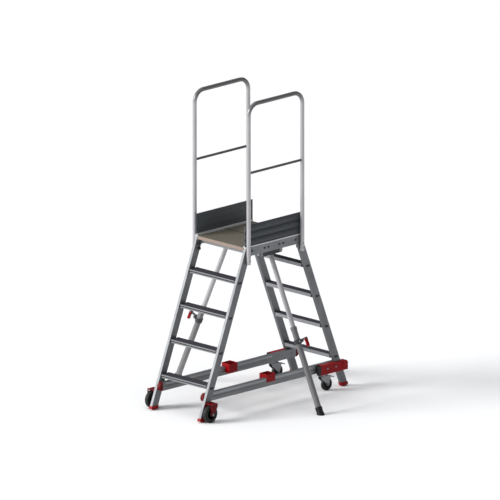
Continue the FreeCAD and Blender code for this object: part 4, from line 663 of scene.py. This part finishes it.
SPOKES, SPOKE_ROOT, SPOKE_TIP = 6, 0.27, 0.55      # spoke ends as shares of the wheel's radius
ROOT_HALF, TIP_HALF = 3.4 * MM, 2 * MM
AXLE_NUT_SINK = 3 * MM
PEDAL_RIDGES, RIDGE_PITCH, RIDGE_EDGE = 4, 3.6, 3
RIDGE_RISE, PAD_HIGH, PAD_EDGE = 1.3, 7.6, 2 * MM
for side_name, side in SIDES:
    low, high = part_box(f"front_tyre_{side_name}")
    centre = (low + high) / 2
    radius = (high.z - low.z) / 2
    half = (high.x - low.x) / 2
    face = bmesh.new()
    for way in (-1, 1):
        out = X * way
        bead = at_share(radius, (half - 4.5 * MM, 0.672), (half - 1.2 * MM, 0.69),
                        (half - 0.4 * MM, 0.715), (half - 1.2 * MM, 0.74), (half - 4.5 * MM, 0.752))
        turned(face, bead, centre, out, 72)
        for k in range(SPOKES):
            angle = 2 * math.pi * k / SPOKES
            spoke = Vector((0, math.cos(angle), math.sin(angle)))
            across = Vector((0, -math.sin(angle), math.cos(angle)))
            root, end = spoke * radius * SPOKE_ROOT, spoke * radius * SPOKE_TIP
            outline = [root - across * ROOT_HALF, end - across * TIP_HALF,
                       end + across * TIP_HALF, root + across * ROOT_HALF]
            extruded(face, outline, centre + out * 3 * MM, out * 7 * MM)
    finished(face, f"front_wheel_face_{side_name}", f"front_wheel_{side_name}", "grey_plastic",
             soften=0.5 * MM)

    low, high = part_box(f"castor_wheel_{side_name}")
    centre = (low + high) / 2
    radius = (high.z - low.z) / 2
    half = (high.x - low.x) / 2
    hub = bmesh.new()
    for way in (-1, 1):
        out = X * way
        bead = at_share(radius, (half - 6 * MM, 0.56), (half - 4.2 * MM, 0.58),
                        (half - 3.6 * MM, 0.61), (half - 4.4 * MM, 0.64), (half - 6 * MM, 0.65))
        turned(hub, bead, centre, out, 60)
    finished(hub, f"castor_wheel_face_{side_name}", f"castor_roller_{side_name}", "black_rubber")

    low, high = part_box(f"castor_fork_{side_name}")
    nuts = bmesh.new()
    for way, x in ((-1, low.x), (1, high.x)):
        at = Vector((x - way * AXLE_NUT_SINK, centre.y, centre.z))
        turned(nuts, mm((0.1, 8.5), (1.2, 8.5)), at, X * way, 32)
        turned(nuts, mm((1.1, 6.4), (2.4, 6.4), (2.95, 5.6)), at, X * way, 6)
    finished(nuts, f"castor_axle_nuts_{side_name}", f"castor_swivel_{side_name}", "zinc_steel",
             smooth=25)

    pedal_low, pedal_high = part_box(f"brake_pedal_{side_name}")
    pad = bmesh.new()
    ridge = [Vector((0, -0.9 * MM, 0)), Vector((0, 0.9 * MM, 0)),
             Vector((0, 0.6 * MM, 1.2 * MM)), Vector((0, -0.6 * MM, 1.2 * MM))]
    for k in range(PEDAL_RIDGES):
        y = pedal_high.y - (RIDGE_EDGE + RIDGE_PITCH * k) * MM
        z = pedal_low.z + (PAD_HIGH + RIDGE_RISE * k) * MM
        extruded(pad, ridge, Vector((pedal_low.x + PAD_EDGE, y, z)),
                 X * (pedal_high.x - pedal_low.x - 2 * PAD_EDGE))
    finished(pad, f"brake_pedal_ridges_{side_name}", f"castor_brake_{side_name}", "zinc_steel",
             soften=0.2 * MM)

# ---------------------------------------------------------------- stabilisers

FOOT_RIDGES = ((55, 1.3), (46, 1.2), (38, 1.1))      # height on the foot, how far it stands out
FOOT_R = 25.7
LUG_AT, PIN_LIFT = 40 * MM, 7 * MM      # the clamp's lug from the leg's axis, its pin above it
for side_name, side in SIDES:
    swing, slide = JOINTS[f"stabiliser_swing_{side_name}"], JOINTS[f"stabiliser_slide_{side_name}"]
    pivot = Vector(swing["pos_m"])
    down = -Vector(slide["axis"]).normalized()
    sole = pivot.z / -down.z
    ridges = bmesh.new()
    for at, grow in FOOT_RIDGES:
        spot = pivot + down * (sole - at * MM)
        proud = FOOT_R + grow
        ridge = mm((-2.6, FOOT_R), (-1.4, proud), (1.4, proud), (2.6, FOOT_R))
        turned(ridges, ridge, spot, down, 48)
    finished(ridges, f"foot_ridges_{side_name}", f"lower_leg_{side_name}", "black_rubber")

    lever = Vector(JOINTS[f"clamp_lever_turn_{side_name}"]["pos_m"])
    nuts = bmesh.new()
    toward_leg = (pivot + down * (lever - pivot).dot(down)) - lever
    lug = lever + toward_leg.normalized() * (toward_leg.length - LUG_AT) + down * PIN_LIFT
    for way in (-1, 1):
        turned(nuts, mm((16, 9.2), (17.4, 9.2)), lug, Y * way, 32)
        turned(nuts, mm((17.3, 6.6), (21.5, 6.6), (22.3, 5.6)), lug, Y * way, 6)
        turned(nuts, mm((10.6, 6), (12.2, 5.6), (13, 3.5)), lever, Y * way, 24)
    finished(nuts, f"clamp_nuts_{side_name}", f"lower_leg_{side_name}", "zinc_steel", smooth=25)

# ---------------------------------------------------------------- stage

FLOOR_HALF, FLOOR_DROP = 60, 0.5 * MM
floor_mesh = bmesh.new()
bmesh.ops.create_grid(floor_mesh, x_segments=2, y_segments=2, size=FLOOR_HALF)
mesh = bpy.data.meshes.new("floor")
floor_mesh.to_mesh(mesh)
floor_mesh.free()
floor = bpy.data.objects.new("floor", mesh)
floor.location.z = -FLOOR_DROP
bpy.context.scene.collection.objects.link(floor)
pale = Finish("pale_floor", 0.9, Specular_IOR_Level=0.1)
speck = pale.noise(pale.place(), 30, 3)
floor.data.materials.append(pale.wire(pale.mix(speck, (0.86, 0.86, 0.86), (0.88, 0.88, 0.88))))
floor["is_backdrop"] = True

world = bpy.data.worlds.new("studio")
world.use_nodes = True
world.node_tree.nodes["Background"].inputs["Color"].default_value = (0.9, 0.93, 1.0, 1)
world.node_tree.nodes["Background"].inputs["Strength"].default_value = 0.2
bpy.context.scene.world = world


def sun(name, energy, spread, toward):
    """A soft sun that shines along a direction."""
    light = bpy.data.lights.new(name, "SUN")
    light.energy = energy
    light.angle = math.radians(spread)
    obj = bpy.data.objects.new(name, light)
    obj.rotation_euler = Vector(toward).to_track_quat("-Z", "Y").to_euler()
    bpy.context.scene.collection.objects.link(obj)


sun("top_light", 1.6, 80, (0.05, 0.1, -1))
sun("key_light", 3.6, 26, (0.5, 0.82, -0.46))

ELEVATION = math.radians(15)
AZIMUTH = math.radians(45)
AIM = Vector((0.0081, 0.0081, 1.131))
VIEW_WIDE, VIEW_BACK, VIEW_END = 3.701, 12, 100
camera_data = bpy.data.cameras.new("camera")
camera_data.type = "ORTHO"
camera_data.ortho_scale = VIEW_WIDE
camera_data.clip_end = VIEW_END
camera = bpy.data.objects.new("camera", camera_data)
back = Vector((math.sin(AZIMUTH) * math.cos(ELEVATION), -math.cos(AZIMUTH) * math.cos(ELEVATION),
               math.sin(ELEVATION)))
camera.location = AIM + back * VIEW_BACK
camera.rotation_euler = (-back).to_track_quat("-Z", "Y").to_euler()
bpy.context.scene.collection.objects.link(camera)
bpy.context.scene.camera = camera
bpy.context.scene.view_settings.view_transform = "Standard"
bpy.context.scene.view_settings.look = "None"

# ---------------------------------------------------------------- size

low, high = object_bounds()
